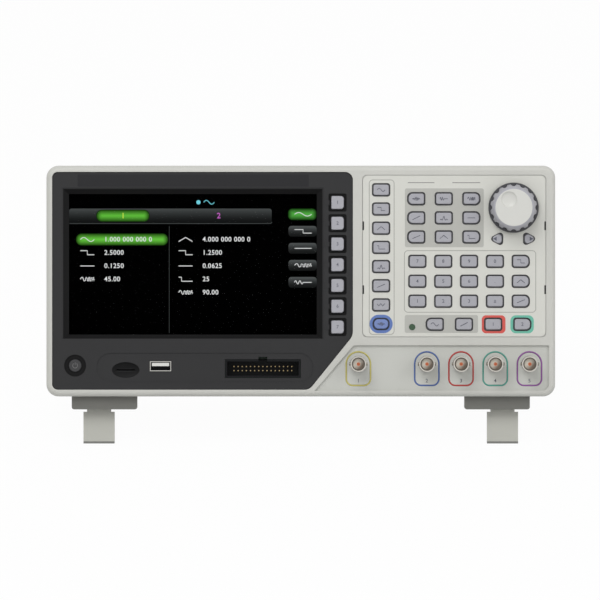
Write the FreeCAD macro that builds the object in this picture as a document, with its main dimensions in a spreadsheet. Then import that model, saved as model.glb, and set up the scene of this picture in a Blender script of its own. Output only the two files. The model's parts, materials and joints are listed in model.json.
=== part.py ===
import FreeCAD, Part

import math
import os
import re
import Sketcher

# Bench function generator, in millimetres.
# Every piece is drawn square in the frame of the case: X to the right, Y from the front panel to
# the back, Z up, with Z = 0 at the underside and Y = 0 at the front rim. One common placement then
# leans the whole instrument back on its folded-out legs, with its origin on the bench under the
# middle of its box.

Vector = FreeCAD.Vector

SIZES = {
    # outer case, in two mouldings that meet behind the front panel
    "case_width": 313.0,
    "case_height": 142.0,
    "case_depth": 108.0,
    "case_corner": 7.5,
    "case_wall": 2.5,
    "front_depth": 30.0,
    "front_wall": 4.0,
    "front_edge": 3.2,
    "back_edge": 5.0,
    # case screws and their wells
    "screw_inset": 7.5,
    "screw_block": 11.0,
    "screw_radius": 1.5,
    "screw_head_radius": 2.9,
    "screw_head_height": 2.4,
    "screw_length": 14.0,
    "screw_floor": 4.0,
    "screw_room": 0.3,
    # dark screen surround
    "panel_face": 0.2,
    "panel_thick": 2.2,
    "panel_room": 0.25,
    "panel_ledge": 3.0,
    "surround_left": -152.7,
    "surround_right": 31.8,
    "surround_low": 4.4,
    "surround_high": 137.9,
    "surround_slant_x": 5.15,
    "surround_slant_z": 37.4,
    "surround_corner": 3.5,
    # sloped display recess, window and display
    "recess_left": -147.2,
    "recess_right": 14.3,
    "recess_low": 34.9,
    "recess_high": 128.5,
    "view_left": -142.6,
    "view_right": 9.8,
    "view_low": 38.1,
    "view_high": 124.5,
    "slope_depth": 3.0,
    "lip_thick": 0.6,
    "collar_wall": 1.5,
    "collar_back": 6.0,
    "window_margin": 2.0,
    "window_thick": 1.2,
    "window_room": 0.2,
    "display_wide": 165.0,
    "display_tall": 98.0,
    "display_thick": 5.5,
    "glass_gap": 0.3,
    # soft keys in the surround
    "soft_x": 22.6,
    "soft_top": 119.3,
    "soft_pitch": 12.76,
    "soft_count": 7,
    "soft_width": 7.6,
    "soft_height": 7.9,
    "soft_frame": 11.1,
    "pointer_height": 3.0,
    "pointer_length": 3.2,
    "pointer_rise": 0.3,
    "pointer_root": 0.6,
    "soft_left_round": 0.8,
    "soft_right_round": 1.8,
    # port strip in the surround
    "strip_left": -125.6,
    "strip_right": 7.7,
    "strip_low": 8.8,
    "strip_high": 26.8,
    "strip_depth": 0.4,
    "strip_round": 8.8,
    "power_x": -138.8,
    "power_z": 19.0,
    "power_radius": 3.85,
    "power_dish_radius": 6.75,
    "card_x": -107.7,
    "card_z": 16.3,
    "card_dish_width": 17.2,
    "card_dish_height": 9.8,
    "card_dish_depth": 1.3,
    "card_slot_width": 11.5,
    "card_slot_height": 1.5,
    "usb_x": -86.3,
    "usb_z": 18.6,
    "usb_width": 13.0,
    "usb_height": 6.0,
    "usb_wall": 0.4,
    "usb_tongue_width": 10.6,
    "usb_tongue_thick": 2.0,
    "usb_tongue_drop": 0.5,
    "header_left": -46.7,
    "header_right": 0.0,
    "header_low": 11.4,
    "header_high": 22.9,
    "header_wall": 1.3,
    "header_floor": 6.0,
    "header_set": 0.4,
    "header_notch_width": 5.4,
    "header_notch_rise": 1.5,
    "pin_columns": 15,
    "pin_pitch": 2.54,
    "pin_width": 0.64,
    "pin_reach": 7.0,
    "port_room": 0.2,
    # keypad plate and its keys
    "plate_left": 38.1,
    "plate_right": 150.6,
    "plate_low": 36.8,
    "plate_high": 136.0,
    "plate_corner": 3.0,
    "key_proud": 1.4,
    "key_room": 0.3,
    "key_recess": 0.8,
    "key_edge": 0.5,
    "key_flange": 0.9,
    "key_flange_thick": 1.0,
    "key_flange_gap": 0.3,
    "key_travel": 0.8,
    "stem_radius": 1.5,
    "switch_size": 6.0,
    "switch_height": 2.2,
    "cap_width": 9.4,
    "cap_height": 6.4,
    "cap_corner": 1.2,
    "cap_frame": 1.9,
    "wave_x": 49.4,
    "wave_top": 127.1,
    "wave_pitch": 11.8,
    "wave_count": 7,
    "mode_z": 44.6,
    "mode_width": 8.6,
    "mode_height": 5.8,
    "menu_left": 71.0,
    "menu_top": 121.6,
    "menu_pitch_x": 16.95,
    "menu_pitch_z": 11.75,
    "number_left": 71.7,
    "number_top": 83.1,
    "number_pitch_x": 15.9,
    "number_pitch_z": 12.25,
    "output_z": 44.4,
    "output_left": 82.4,
    "output_pitch": 17.95,
    "light_x": 68.5,
    "light_z": 42.7,
    "light_radius": 1.9,
    "arrow_left_x": 119.7,
    "arrow_right_x": 141.5,
    "arrow_corner": 1.9,
    "arrow_z": 97.0,
    "arrow_width": 7.7,
    "arrow_height": 8.1,
    # knob and its encoder
    "knob_x": 130.8,
    "knob_z": 116.1,
    "knob_radius": 15.45,
    "knob_face_radius": 11.2,
    "knob_height": 14.0,
    "knob_gap": 0.5,
    "knob_flutes": 16,
    "flute_radius": 2.0,
    "flute_depth": 2.2,
    "dimple_radius": 4.9,
    "dimple_depth": 1.6,
    "dimple_x": -3.0,
    "dimple_z": 5.0,
    "shaft_radius": 3.0,
    "shaft_room": 0.05,
    "bushing_wall": 1.2,
    "bushing_set": 0.4,
    "encoder_size": 12.5,
    "encoder_height": 4.6,
    "encoder_floor": 0.3,
    # recessed connector field and the coaxial jacks
    "field_left": 8.5,
    "field_slant_x": 32.5,
    "field_right": 152.7,
    "field_low": 3.6,
    "field_high": 31.5,
    "field_depth": 1.4,
    "jack_z": 20.0,
    "jack_first_x": 35.4,
    "jack_pitch": 21.05,
    "jack_radius": 4.8,
    "jack_reach": 12.5,
    "jack_bore": 4.1,
    "jack_bore_depth": 9.5,
    "jack_lug_reach": 5.6,
    "jack_lug_radius": 1.0,
    "jack_lug_set": 5.0,
    "jack_block": 14.0,
    "jack_block_depth": 14.0,
    "jack_room": 0.1,
    "sleeve_radius": 3.3,
    "sleeve_set": 3.0,
    "contact_radius": 1.1,
    "contact_bore": 0.69,
    "contact_depth": 5.0,
    # boards, display carrier and chassis
    "board_thick": 1.6,
    "key_board_face": 9.0,
    "key_board_left": 17.6,
    "key_board_right": 152.6,
    "key_board_low": 36.0,
    "key_board_high": 130.2,
    "board_boss_radius": 2.5,
    "board_boss_left": 35.0,
    "board_boss_right": 150.6,
    "board_boss_low": 62.0,
    "board_boss_high": 108.0,
    "main_left": -122.0,
    "main_right": 143.0,
    "main_front": 19.0,
    "main_back": 98.0,
    "main_top": 11.2,
    "post_radius": 3.0,
    "chip_left": -70.0,
    "chip_right": -20.0,
    "chip_y": 56.0,
    "chip_size": 24.0,
    "chip_height": 2.0,
    "chip_round": 1.0,
    "shield_left": 50.0,
    "shield_right": 98.0,
    "shield_y": 50.0,
    "shield_width": 36.0,
    "shield_length": 34.0,
    "shield_height": 8.0,
    "support_left": -110.0,
    "support_middle": 30.0,
    "support_right": 130.0,
    "support_front": 44.0,
    "support_back": 88.0,
    "port_board_face": 17.0,
    "port_board_left": -143.0,
    "port_board_right": 6.0,
    "port_board_high": 30.0,
    "chassis_face": 26.0,
    "chassis_gauge": 1.2,
    "chassis_half": 143.0,
    "chassis_low": 33.0,
    "shelf_left": -143.0,
    "shelf_right": -16.0,
    "shelf_back": 98.0,
    "shelf_post_left": -135.0,
    "shelf_post_right": -26.0,
    "shelf_post_y": 90.0,
    "post_room": 0.6,
    "hanger_x": 100.0,
    "hanger_width": 10.0,
    "hanger_height": 4.3,
    # power supply
    "supply_left": -138.0,
    "supply_right": -24.0,
    "supply_front": 34.0,
    "supply_back": 82.0,
    "supply_height": 42.0,
    # fan
    "fan_x": 95.0,
    "fan_z": 84.0,
    "fan_size": 50.0,
    "fan_depth": 15.0,
    "fan_bore": 23.5,
    "fan_hub": 10.0,
    "fan_tip_gap": 0.8,
    "fan_blades": 7,
    "blade_spread": 8.0,
    "fan_shaft": 1.5,
    "fan_mount_thick": 2.5,
    "fan_hub_depth": 9.0,
    "grille_pitch": 6.0,
    "grille_slot": 3.2,
    "grille_slots": 7,
    "grille_height": 41.0,
    "grille_round": 1.4,
    # rear connectors
    "inlet_x": -100.0,
    "inlet_z": 66.0,
    "inlet_width": 58.0,
    "inlet_height": 28.0,
    "inlet_flange": 2.0,
    "inlet_margin": 2.5,
    "inlet_depth": 21.0,
    "socket_x": -114.0,
    "socket_width": 24.6,
    "socket_height": 16.6,
    "socket_depth": 16.5,
    "socket_corner": 4.0,
    "blade_width": 2.0,
    "blade_height": 4.0,
    "blade_pitch": 7.0,
    "blade_rise": 2.0,
    "rocker_x": -84.0,
    "rocker_width": 12.0,
    "rocker_height": 19.0,
    "rocker_angle": 9.0,
    "rocker_proud": 0.8,
    "rocker_body": 8.0,
    "rocker_waist": 5.3,
    "rocker_edge": 1.0,
    "rocker_pin": 1.5,
    "rocker_room": 0.4,
    "usbb_x": -60.0,
    "usbb_width": 12.0,
    "usbb_height": 11.0,
    "usbb_wall": 1.0,
    "usbb_length": 16.0,
    "usbb_bore": 12.0,
    "usbb_proud": 0.3,
    "usbb_tongue_width": 6.0,
    "usbb_tongue_thick": 3.2,
    "rear_jack_x": 20.0,
    "rear_jack_pitch": 30.0,
    "rear_jack_count": 2,
    "side_vents": 9,
    "vent_pitch": 6.5,
    "vent_width": 2.6,
    "vent_low": 52.0,
    "vent_high": 96.0,
    "vent_front": 42.0,
    "vent_round": 1.1,
    # folding carry handle in the top
    "tray_half": 61.0,
    "tray_front": 44.0,
    "tray_back": 90.0,
    "tray_depth": 11.0,
    "tray_side": 6.0,
    "handle_room": 1.0,
    "handle_thick": 8.0,
    "handle_round": 3.9,
    "handle_sink": 0.6,
    "handle_grip": 10.0,
    "handle_arm": 8.0,
    "handle_front": 55.0,
    "handle_pivot_y": 82.0,
    "handle_pin": 2.0,
    "handle_pin_length": 4.0,
    "pivot_room": 0.05,
    # feet and fold-out legs
    "foot_height": 8.0,
    "foot_width": 40.2,
    "foot_x": 120.9,
    "foot_front": 6.0,
    "foot_corner": 1.5,
    "leg_x": 124.35,
    "leg_width": 19.2,
    "leg_tongue": 14.8,
    "leg_thick": 5.0,
    "leg_shoulder": 9.6,
    "leg_drop": 29.1,
    "leg_pivot_y": 16.0,
    "leg_pivot_z": -4.2,
    "leg_pin": 1.6,
    "leg_pin_length": 4.0,
    "leg_side_room": 0.3,
    "leg_end_room": 1.8,
    "rear_foot_front": 82.0,
    "rear_foot_back": 102.0,
    "rear_foot_round": 6.0,
    "rear_foot_width": 32.0,
}

doc = FreeCAD.newDocument("FunctionGenerator")
sheet = doc.addObject("Spreadsheet::Sheet", "Sizes")
for row, (alias, size) in enumerate(SIZES.items(), start=1):
    sheet.set(f"A{row}", alias)
    sheet.set(f"B{row}", str(size))
    sheet.setAlias(f"B{row}", alias)
doc.recompute()

# The lean: both leg soles and the rounded heels of the rear feet touch the bench. Seen from the
# side, the sole's front edge and the heel's centre lie heel_reach apart along Y.
stand = doc.addObject("App::VarSet", "Stand")
stand.addProperty("App::PropertyAngle", "Lean")
stand.addProperty("App::PropertyDistance", "Back")
stand.addProperty("App::PropertyDistance", "Lift")
stand.addProperty("App::PropertyPlacement", "Pose")


def bound(text):
    """The same formula with each size's name pointing at the sheet."""
    def point(word):
        return f"Sizes.{word.group()}" if word.group() in SIZES else word.group()
    return re.sub(r"[a-z][a-z_]+", point, str(text))


def number(text):
    """What a formula comes to now."""
    result = stand.evalExpression(bound(text))
    return float(getattr(result, "Value", result))


HEEL_Y = "(rear_foot_back - rear_foot_round)"
HEEL_Z = "(foot_height - rear_foot_round)"
SOLE_Y = "(leg_pivot_y - leg_thick / 2)"
REACH = f"({HEEL_Y} - {SOLE_Y})"
DROP = f"(leg_drop - {HEEL_Z})"
APART = f"sqrt({REACH} * {REACH} + {DROP} * {DROP})"
LEAN = f"(atan({DROP} / {REACH}) - asin(rear_foot_round / {APART}))"
stand.setExpression("Lean", bound(LEAN))
stand.setExpression("Lift", bound(f"{SOLE_Y} * sin({LEAN}) + leg_drop * cos({LEAN})"))
stand.setExpression(
    "Pose",
    "create(<<placement>>; create(<<vector>>; 0; Back; Lift); "
    "create(<<rotation>>; create(<<vector>>; 1; 0; 0); -Lean))",
)
doc.recompute()

pieces = []
PLANES = {"XY": ("XY_Plane", 1), "XZ": ("XZ_Plane", -1), "YZ": ("YZ_Plane", 1)}


def piece(label, several=False):
    """A body of its own, named for the piece; several is for a set of separate solids."""
    body = doc.addObject("PartDesign::Body", label.title().replace("_", ""))
    body.Label = label
    if several:
        body.AllowCompound = True
    pieces.append(body)
    return body


def rect(left, right, low, high, round_=None):
    """A rectangle, with its corners rounded if a radius is given."""
    return [(left, low, round_), (right, low, round_), (right, high, round_), (left, high, round_)]


def around(x, y, width, height, round_=None):
    """A rectangle given by its middle and its size."""
    return rect(
        f"({x}) - ({width}) / 2",
        f"({x}) + ({width}) / 2",
        f"({y}) - ({height}) / 2",
        f"({y}) + ({height}) / 2",
        round_,
    )


def tie(sketch, kind, geometry, corner, formula, value):
    """A dimension from the sketch's origin, or a radius, bound to its formula."""
    if kind == "Radius":
        index = sketch.addConstraint(Sketcher.Constraint(kind, geometry, value))
    else:
        index = sketch.addConstraint(Sketcher.Constraint(kind, -1, 1, geometry, corner, value))
    sketch.setExpression(f"Constraints[{index}]", bound(formula))


def add_circle(sketch, x, y, radius):
    centre = Vector(number(x), number(y), 0)
    shape = sketch.addGeometry(Part.Circle(centre, Vector(0, 0, 1), number(radius)))
    tie(sketch, "DistanceX", shape, 3, x, centre.x)
    tie(sketch, "DistanceY", shape, 3, y, centre.y)
    tie(sketch, "Radius", shape, 0, radius, number(radius))


def corner_cut(before, point, after, radius):
    """Where a rounded corner leaves its two sides, its centre, and whether it turns left."""
    back = (before - point).normalize()
    ahead = (after - point).normalize()
    half = back.getAngle(ahead) / 2
    start = point + back * (radius / math.tan(half))
    end = point + ahead * (radius / math.tan(half))
    centre = point + (back + ahead).normalize() * (radius / math.sin(half))
    return start, end, centre, back.cross(ahead).z < 0


def add_polygon(sketch, corners):
    """A closed outline, counter-clockwise, with any of its corners rounded by a tangent arc."""
    points = [Vector(number(x), number(y), 0) for x, y, _ in corners]
    cuts = []
    for index, (_, _, round_) in enumerate(corners):
        point = points[index]
        if round_ is None:
            cuts.append((point, point, None, True))
        else:
            after = points[(index + 1) % len(points)]
            cuts.append(corner_cut(points[index - 1], point, after, number(round_)))
    lines = []
    for index, cut in enumerate(cuts):
        following = cuts[(index + 1) % len(cuts)]
        lines.append(sketch.addGeometry(Part.LineSegment(cut[1], following[0])))
    for index, (x, y, round_) in enumerate(corners):
        arriving = lines[index - 1]
        leaving = lines[index]
        start, end, centre, left_turn = cuts[index]
        if round_ is None:
            sketch.addConstraint(Sketcher.Constraint("Coincident", arriving, 2, leaving, 1))
            tie(sketch, "DistanceX", leaving, 1, x, points[index].x)
            tie(sketch, "DistanceY", leaving, 1, y, points[index].y)
            continue
        first, last = (start, end) if left_turn else (end, start)
        low = math.atan2(first.y - centre.y, first.x - centre.x)
        high = math.atan2(last.y - centre.y, last.x - centre.x)
        circle = Part.Circle(centre, Vector(0, 0, 1), number(round_))
        arc = sketch.addGeometry(Part.ArcOfCircle(circle, low, high))
        near, far = (1, 2) if left_turn else (2, 1)
        sketch.addConstraint(Sketcher.Constraint("Tangent", arriving, 2, arc, near))
        sketch.addConstraint(Sketcher.Constraint("Tangent", arc, far, leaving, 1))
        tie(sketch, "Radius", arc, 0, round_, number(round_))
        apex = sketch.addGeometry(Part.Point(points[index]), True)
        tie(sketch, "DistanceX", apex, 1, x, points[index].x)
        tie(sketch, "DistanceY", apex, 1, y, points[index].y)
        sketch.addConstraint(Sketcher.Constraint("PointOnObject", apex, 1, arriving))
        sketch.addConstraint(Sketcher.Constraint("PointOnObject", apex, 1, leaving))


def draw(body, plane, level, outlines, origin=("0", "0")):
    """A sketch on one of the body's planes, moved to a level along that plane's axis."""
    role, sense = PLANES[plane]
    sketch = body.newObject("Sketcher::SketchObject", f"{body.Name}Outline")
    support = [item for item in body.Origin.OriginFeatures if item.Role == role][0]
    sketch.AttachmentSupport = (support, "")
    sketch.MapMode = "FlatFace"
    height = f"{sense} * ({level})"
    for axis, formula in zip("xyz", (origin[0], origin[1], height)):
        sketch.setExpression(f"AttachmentOffset.Base.{axis}", bound(formula))
    for outline in outlines:
        if isinstance(outline, tuple):
            add_circle(sketch, *outline)
        else:
            add_polygon(sketch, outline)
    return sketch


def slab(body, plane, outlines, low, high):
    """Material between two levels along the plane's axis."""
    level = high if plane == "XZ" else low
    pad = body.newObject("PartDesign::Pad", f"{body.Name}Pad")
    pad.Profile = draw(body, plane, level, outlines)
    pad.setExpression("Length", bound(f"({high}) - ({low})"))
    body.Tip = pad
    doc.recompute()
    return pad


def cut(body, plane, outlines, low, high):
    """The same outlines taken away between two levels."""
    level = low if plane == "XZ" else high
    before = body.Shape.Volume
    pocket = body.newObject("PartDesign::Pocket", f"{body.Name}Pocket")
    pocket.Profile = draw(body, plane, level, outlines)
    pocket.setExpression("Length", bound(f"({high}) - ({low})"))
    body.Tip = pocket
    doc.recompute()
    if body.Shape.Volume >= before:
        raise ValueError(f"{body.Label}: a pocket removed nothing")
    return pocket


def repeat(body, originals, columns, pitch_x, rows, pitch_z):
    """Copies of some features in a grid that runs right along X and down along Z."""
    if columns * rows == 1:
        return
    steps = [("X_Axis", False, columns, pitch_x), ("Z_Axis", True, rows, pitch_z)]
    steps = [step for step in steps if step[2] > 1]
    pattern = body.newObject("PartDesign::LinearPattern", f"{body.Name}Grid")
    pattern.Originals = originals
    for suffix, (role, reverse, count, pitch) in zip(("", "2"), steps):
        axis = [item for item in body.Origin.OriginFeatures if item.Role == role][0]
        setattr(pattern, f"Direction{suffix}", (axis, [""]))
        setattr(pattern, f"Reversed{suffix}", reverse)
        setattr(pattern, f"Occurrences{suffix}", count)
        pattern.setExpression(f"Length{suffix}", bound(f"({pitch}) * ({count} - 1)"))
    body.Tip = pattern
    doc.recompute()


def repeat_back(body, originals, count, pitch):
    """Copies of some features in a row that runs back along Y."""
    pattern = body.newObject("PartDesign::LinearPattern", f"{body.Name}Row")
    pattern.Originals = originals
    axis = [item for item in body.Origin.OriginFeatures if item.Role == "Y_Axis"][0]
    pattern.Direction = (axis, [""])
    pattern.Occurrences = count
    pattern.setExpression("Length", bound(f"({pitch}) * ({count} - 1)"))
    body.Tip = pattern
    doc.recompute()


def spin(body, kind, profile, x, z, angle=360):
    """A profile of (radius, y) points turned about an axis along Y through x, z."""
    turned = body.newObject(f"PartDesign::{kind}", f"{body.Name}{kind}")
    sketch = draw(body, "XY", z, [[(r, y, None) for r, y in profile]], origin=(x, "0"))
    turned.Profile = sketch
    turned.ReferenceAxis = (sketch, ["V_Axis"])
    turned.Angle = angle
    body.Tip = turned
    doc.recompute()
    return turned


def soften(body, radius, chosen):
    """A rounding along the edges for which chosen says yes."""
    base = body.Tip
    names = [
        f"Edge{index}"
        for index, edge in enumerate(base.Shape.Edges, start=1)
        if chosen(edge.BoundBox)
    ]
    fillet = body.newObject("PartDesign::Fillet", f"{body.Name}Rounding")
    fillet.Base = (base, names)
    fillet.setExpression("Radius", bound(radius))
    body.Tip = fillet
    doc.recompute()
    return fillet


def at_level(axis, formula):
    """A test for edges that lie flat at one level."""
    level = number(formula)
    low, high = f"{axis}Min", f"{axis}Max"
    return lambda box: abs(getattr(box, low) - level) < 1e-3 and abs(getattr(box, high) - level) < 1e-3


def solid_piece(label, shape):
    """A piece whose many like openings or parts are made in one go, read from the same sheet."""
    feature = doc.addObject("Part::Feature", label.title().replace("_", ""))
    feature.Label = label
    feature.Shape = shape
    pieces.append(feature)
    return feature


def prism(corners, low, high):
    """A solid with this outline, seen from the front, between two levels along Y."""
    points = [Vector(number(x), 0, number(z)) for x, z, _ in corners]
    edges = []
    ends = []
    for index, (_, _, round_) in enumerate(corners):
        point = points[index]
        if round_ is None:
            ends.append((point, point))
            continue
        before, after = points[index - 1], points[(index + 1) % len(points)]
        back, ahead = (before - point).normalize(), (after - point).normalize()
        radius, half = number(round_), back.getAngle(ahead) / 2
        start = point + back * (radius / math.tan(half))
        end = point + ahead * (radius / math.tan(half))
        inward = (back + ahead).normalize()
        middle = point + inward * (radius / math.sin(half) - radius)
        edges.append(Part.Arc(start, middle, end).toShape())
        ends.append((start, end))
    for index, (_, leaving) in enumerate(ends):
        arriving = ends[(index + 1) % len(ends)][0]
        edges.append(Part.LineSegment(leaving, arriving).toShape())
    face = Part.Face(Part.Wire(Part.__sortEdges__(edges)))
    face.translate(Vector(0, number(low), 0))
    return face.extrude(Vector(0, number(high) - number(low), 0))


def rod(x, z, radius, low, high):
    """A round bar along Y."""
    start = Vector(number(x), number(low), number(z))
    return Part.makeCylinder(number(radius), number(high) - number(low), start, Vector(0, 1, 0))


# Levels along Y that several pieces share
PANEL_BACK = "(panel_face + panel_thick)"
KEY_FRONT = "(panel_face - key_proud)"
FLANGE_FRONT = f"({PANEL_BACK} + key_flange_gap)"
FLANGE_BACK = f"({FLANGE_FRONT} + key_flange_thick)"
SWITCH_FACE = "(key_board_face - switch_height)"
STEM_BACK = f"({SWITCH_FACE} - key_travel - 0.1)"
HALF_WIDE = "(case_width / 2)"
BACK_WALL = "(case_depth - case_wall)"
WINDOW_FACE = "(panel_face + slope_depth + lip_thick)"


def surround_outline(inset):
    """The surround's five-cornered outline, drawn in by a distance on every side."""
    rise = "(surround_slant_z - surround_low)"
    run = "(surround_right - surround_slant_x)"
    slope = f"({rise} / {run})"
    span = f"sqrt(1 + {slope} * {slope})"
    low_x = f"surround_slant_x - ({inset}) * ({span} - 1) / {slope}"
    high_z = f"surround_slant_z + ({inset}) * ({span} - {slope})"
    return [
        (f"surround_left + ({inset})", f"surround_low + ({inset})", "surround_corner"),
        (low_x, f"surround_low + ({inset})", "surround_corner * 1.7"),
        (f"surround_right - ({inset})", high_z, "surround_corner * 2.2"),
        (f"surround_right - ({inset})", f"surround_high - ({inset})", "surround_corner * 1.4"),
        (f"surround_left + ({inset})", f"surround_high - ({inset})", "surround_corner"),
    ]


def plate_outline(inset):
    return rect(
        f"plate_left + ({inset})",
        f"plate_right - ({inset})",
        f"plate_low + ({inset})",
        f"plate_high - ({inset})",
        "plate_corner",
    )


def case_outline(inset):
    return rect(
        f"({inset}) - {HALF_WIDE}",
        f"{HALF_WIDE} - ({inset})",
        inset,
        f"case_height - ({inset})",
        f"case_corner - ({inset})",
    )


def corner_blocks(size):
    """Blocks in the four corners of the shell, which carry the case screws."""
    blocks = []
    bottom, top = "case_wall / 2", "case_height - case_wall / 2"
    for side in (-1, 1):
        wall = f"{side} * ({HALF_WIDE} - case_wall / 2)"
        inner = f"{side} * ({HALF_WIDE} - {size})"
        for outer, near in ((bottom, size), (top, f"case_height - {size}")):
            corners = [
                (wall, outer, "case_corner - case_wall / 2"),
                (inner, outer, None),
                (inner, near, None),
                (wall, near, None),
            ]
            forward = (side < 0) == (outer == bottom)
            blocks.append(corners if forward else corners[::-1])
    return blocks


def corner_circles(radius):
    """Circles at the four case screws."""
    return [
        (f"{side} * ({HALF_WIDE} - screw_inset)", height, radius)
        for side in (-1, 1)
        for height in ("screw_inset", "case_height - screw_inset")
    ]


def jack_places():
    """Middle of each front jack along X: one alone, then four in a row one pitch further on."""
    return [f"(jack_first_x + {step} * jack_pitch)" for step in (0, 2, 3, 4, 5)]


def rear_jack_places():
    return [f"(rear_jack_x + {step} * rear_jack_pitch)" for step in range(int(SIZES["rear_jack_count"]))]


def soft_places():
    return [f"(soft_top - {step} * soft_pitch)" for step in range(int(SIZES["soft_count"]))]


def wave_places():
    return [f"(wave_top - {step} * wave_pitch)" for step in range(int(SIZES["wave_count"]))]


def key_cap(width, height, left, right, x, z):
    """Outline of a key whose left and right corners have radii of their own."""
    corners = around(x, z, width, height)
    rounds = (left, right, right, left)
    return [(px, pz, round_) for (px, pz, _), round_ in zip(corners, rounds)]


ROUND_SIDE = "(cap_height * 0.42)"


def key_groups():
    """Keys of one shape at one pitch: name, first X and Z, width, height, end radii, grid."""
    flat, one = "cap_corner", (1, "0")
    cap = ("cap_width", "cap_height")
    pill = "mode_height * 0.45"
    wave = (int(SIZES["wave_count"]), "wave_pitch")
    menu = (3, "menu_pitch_z")
    digits = (3, "number_pitch_z")
    fours = (4, "number_pitch_x")
    last_x = "number_left + 4 * number_pitch_x"
    groups = [
        ("wave_key", "wave_x", "wave_top", *cap, flat, flat, *one, *wave),
        ("mode_key", "wave_x", "mode_z", "mode_width", "mode_height", pill, pill, *one, *one),
        ("menu_row", "menu_left", "menu_top", *cap, ROUND_SIDE, flat, *one, *menu),
        ("menu_row", "menu_left + menu_pitch_x", "menu_top", *cap, flat, flat, *one, *menu),
        ("menu_row", "menu_left + 2 * menu_pitch_x", "menu_top", *cap, flat, ROUND_SIDE, *one, *menu),
        ("number_row", "number_left", "number_top", *cap, flat, flat, *fours, *digits),
        ("number_row", last_x, "number_top", *cap, flat, ROUND_SIDE, *one, *digits),
    ]
    for column, ends in enumerate(((ROUND_SIDE, flat), (flat, flat), (flat, flat), (flat, ROUND_SIDE))):
        x = f"output_left + {column} * output_pitch"
        groups.append((f"output_key_{column + 1}", x, "output_z", *cap, *ends, *one, *one))
    return groups


def plate_keys():
    """Every four-sided key in the plate by itself: name, X, Z, width, height and end radii."""
    keys = []
    for name, x, z, width, height, left, right, columns, pitch_x, rows, pitch_z in key_groups():
        for row in range(rows):
            for column in range(columns):
                label = f"{name}_{row + 1}" if rows > 1 else name
                place = (f"({x} + {column} * {pitch_x})", f"({z} - {row} * {pitch_z})")
                keys.append((label, *place, width, height, left, right))
    return keys


ARROWS = (("arrow_left_x", -1), ("arrow_right_x", 1))


def arrow_outline(x, sense, grow):
    """A triangle with rounded corners that points left (-1) or right (1)."""
    tip = f"{x} + {sense} * (arrow_width / 2 + {grow})"
    back = f"{x} - {sense} * (arrow_width / 2 + {grow})"
    high = f"arrow_z + arrow_height / 2 + {grow}"
    low = f"arrow_z - arrow_height / 2 - {grow}"
    corners = [(x, z, "arrow_corner") for x, z in ((tip, "arrow_z"), (back, high), (back, low))]
    return corners if sense > 0 else corners[::-1]


def build_front_case():
    """Front moulding: rim, front wall with its seats and openings, and the stepped-back field."""
    body = piece("front_case")
    slab(body, "XZ", [case_outline("0")], "0", "front_depth")
    soften(body, "front_edge", at_level("Y", "0"))
    cut(body, "XZ", [case_outline("case_wall")], "front_wall", "front_depth")
    slab(body, "XZ", corner_blocks("screw_block"), "front_wall", "front_depth")
    hole_end = "front_depth - screw_length + screw_floor - 1"
    cut(body, "XZ", corner_circles("screw_radius"), hole_end, "front_depth")
    cut(body, "XZ", [surround_outline("-panel_room")], "0", PANEL_BACK)
    cut(body, "XZ", [surround_outline("panel_ledge")], PANEL_BACK, "front_wall")
    cut(body, "XZ", [plate_outline("-panel_room")], "0", PANEL_BACK)
    cut(body, "XZ", [plate_outline("panel_ledge")], PANEL_BACK, "front_wall")
    field = [
        ("field_left", "field_low", None),
        ("field_right", "field_low", "case_corner - front_edge"),
        ("field_right", "field_high", "1"),
        ("field_slant_x", "field_high", "3"),
    ]
    cut(body, "XZ", [field], "0", "field_depth")
    holes = [(x, "jack_z", "jack_radius + jack_room") for x in jack_places()]
    cut(body, "XZ", holes, "field_depth", "front_wall")
    bosses = [
        (x, z, "board_boss_radius")
        for x in ("board_boss_left", "board_boss_right")
        for z in ("board_boss_low", "board_boss_high")
    ]
    slab(body, "XZ", bosses, "front_wall", "key_board_face")
    hangers = [
        rect(
            f"{side} * hanger_x - hanger_width / 2",
            f"{side} * hanger_x + hanger_width / 2",
            "case_height - case_wall - hanger_height",
            "case_height - case_wall / 2",
        )
        for side in (-1, 1)
    ]
    slab(body, "XZ", hangers, "front_wall", "chassis_face")


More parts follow.
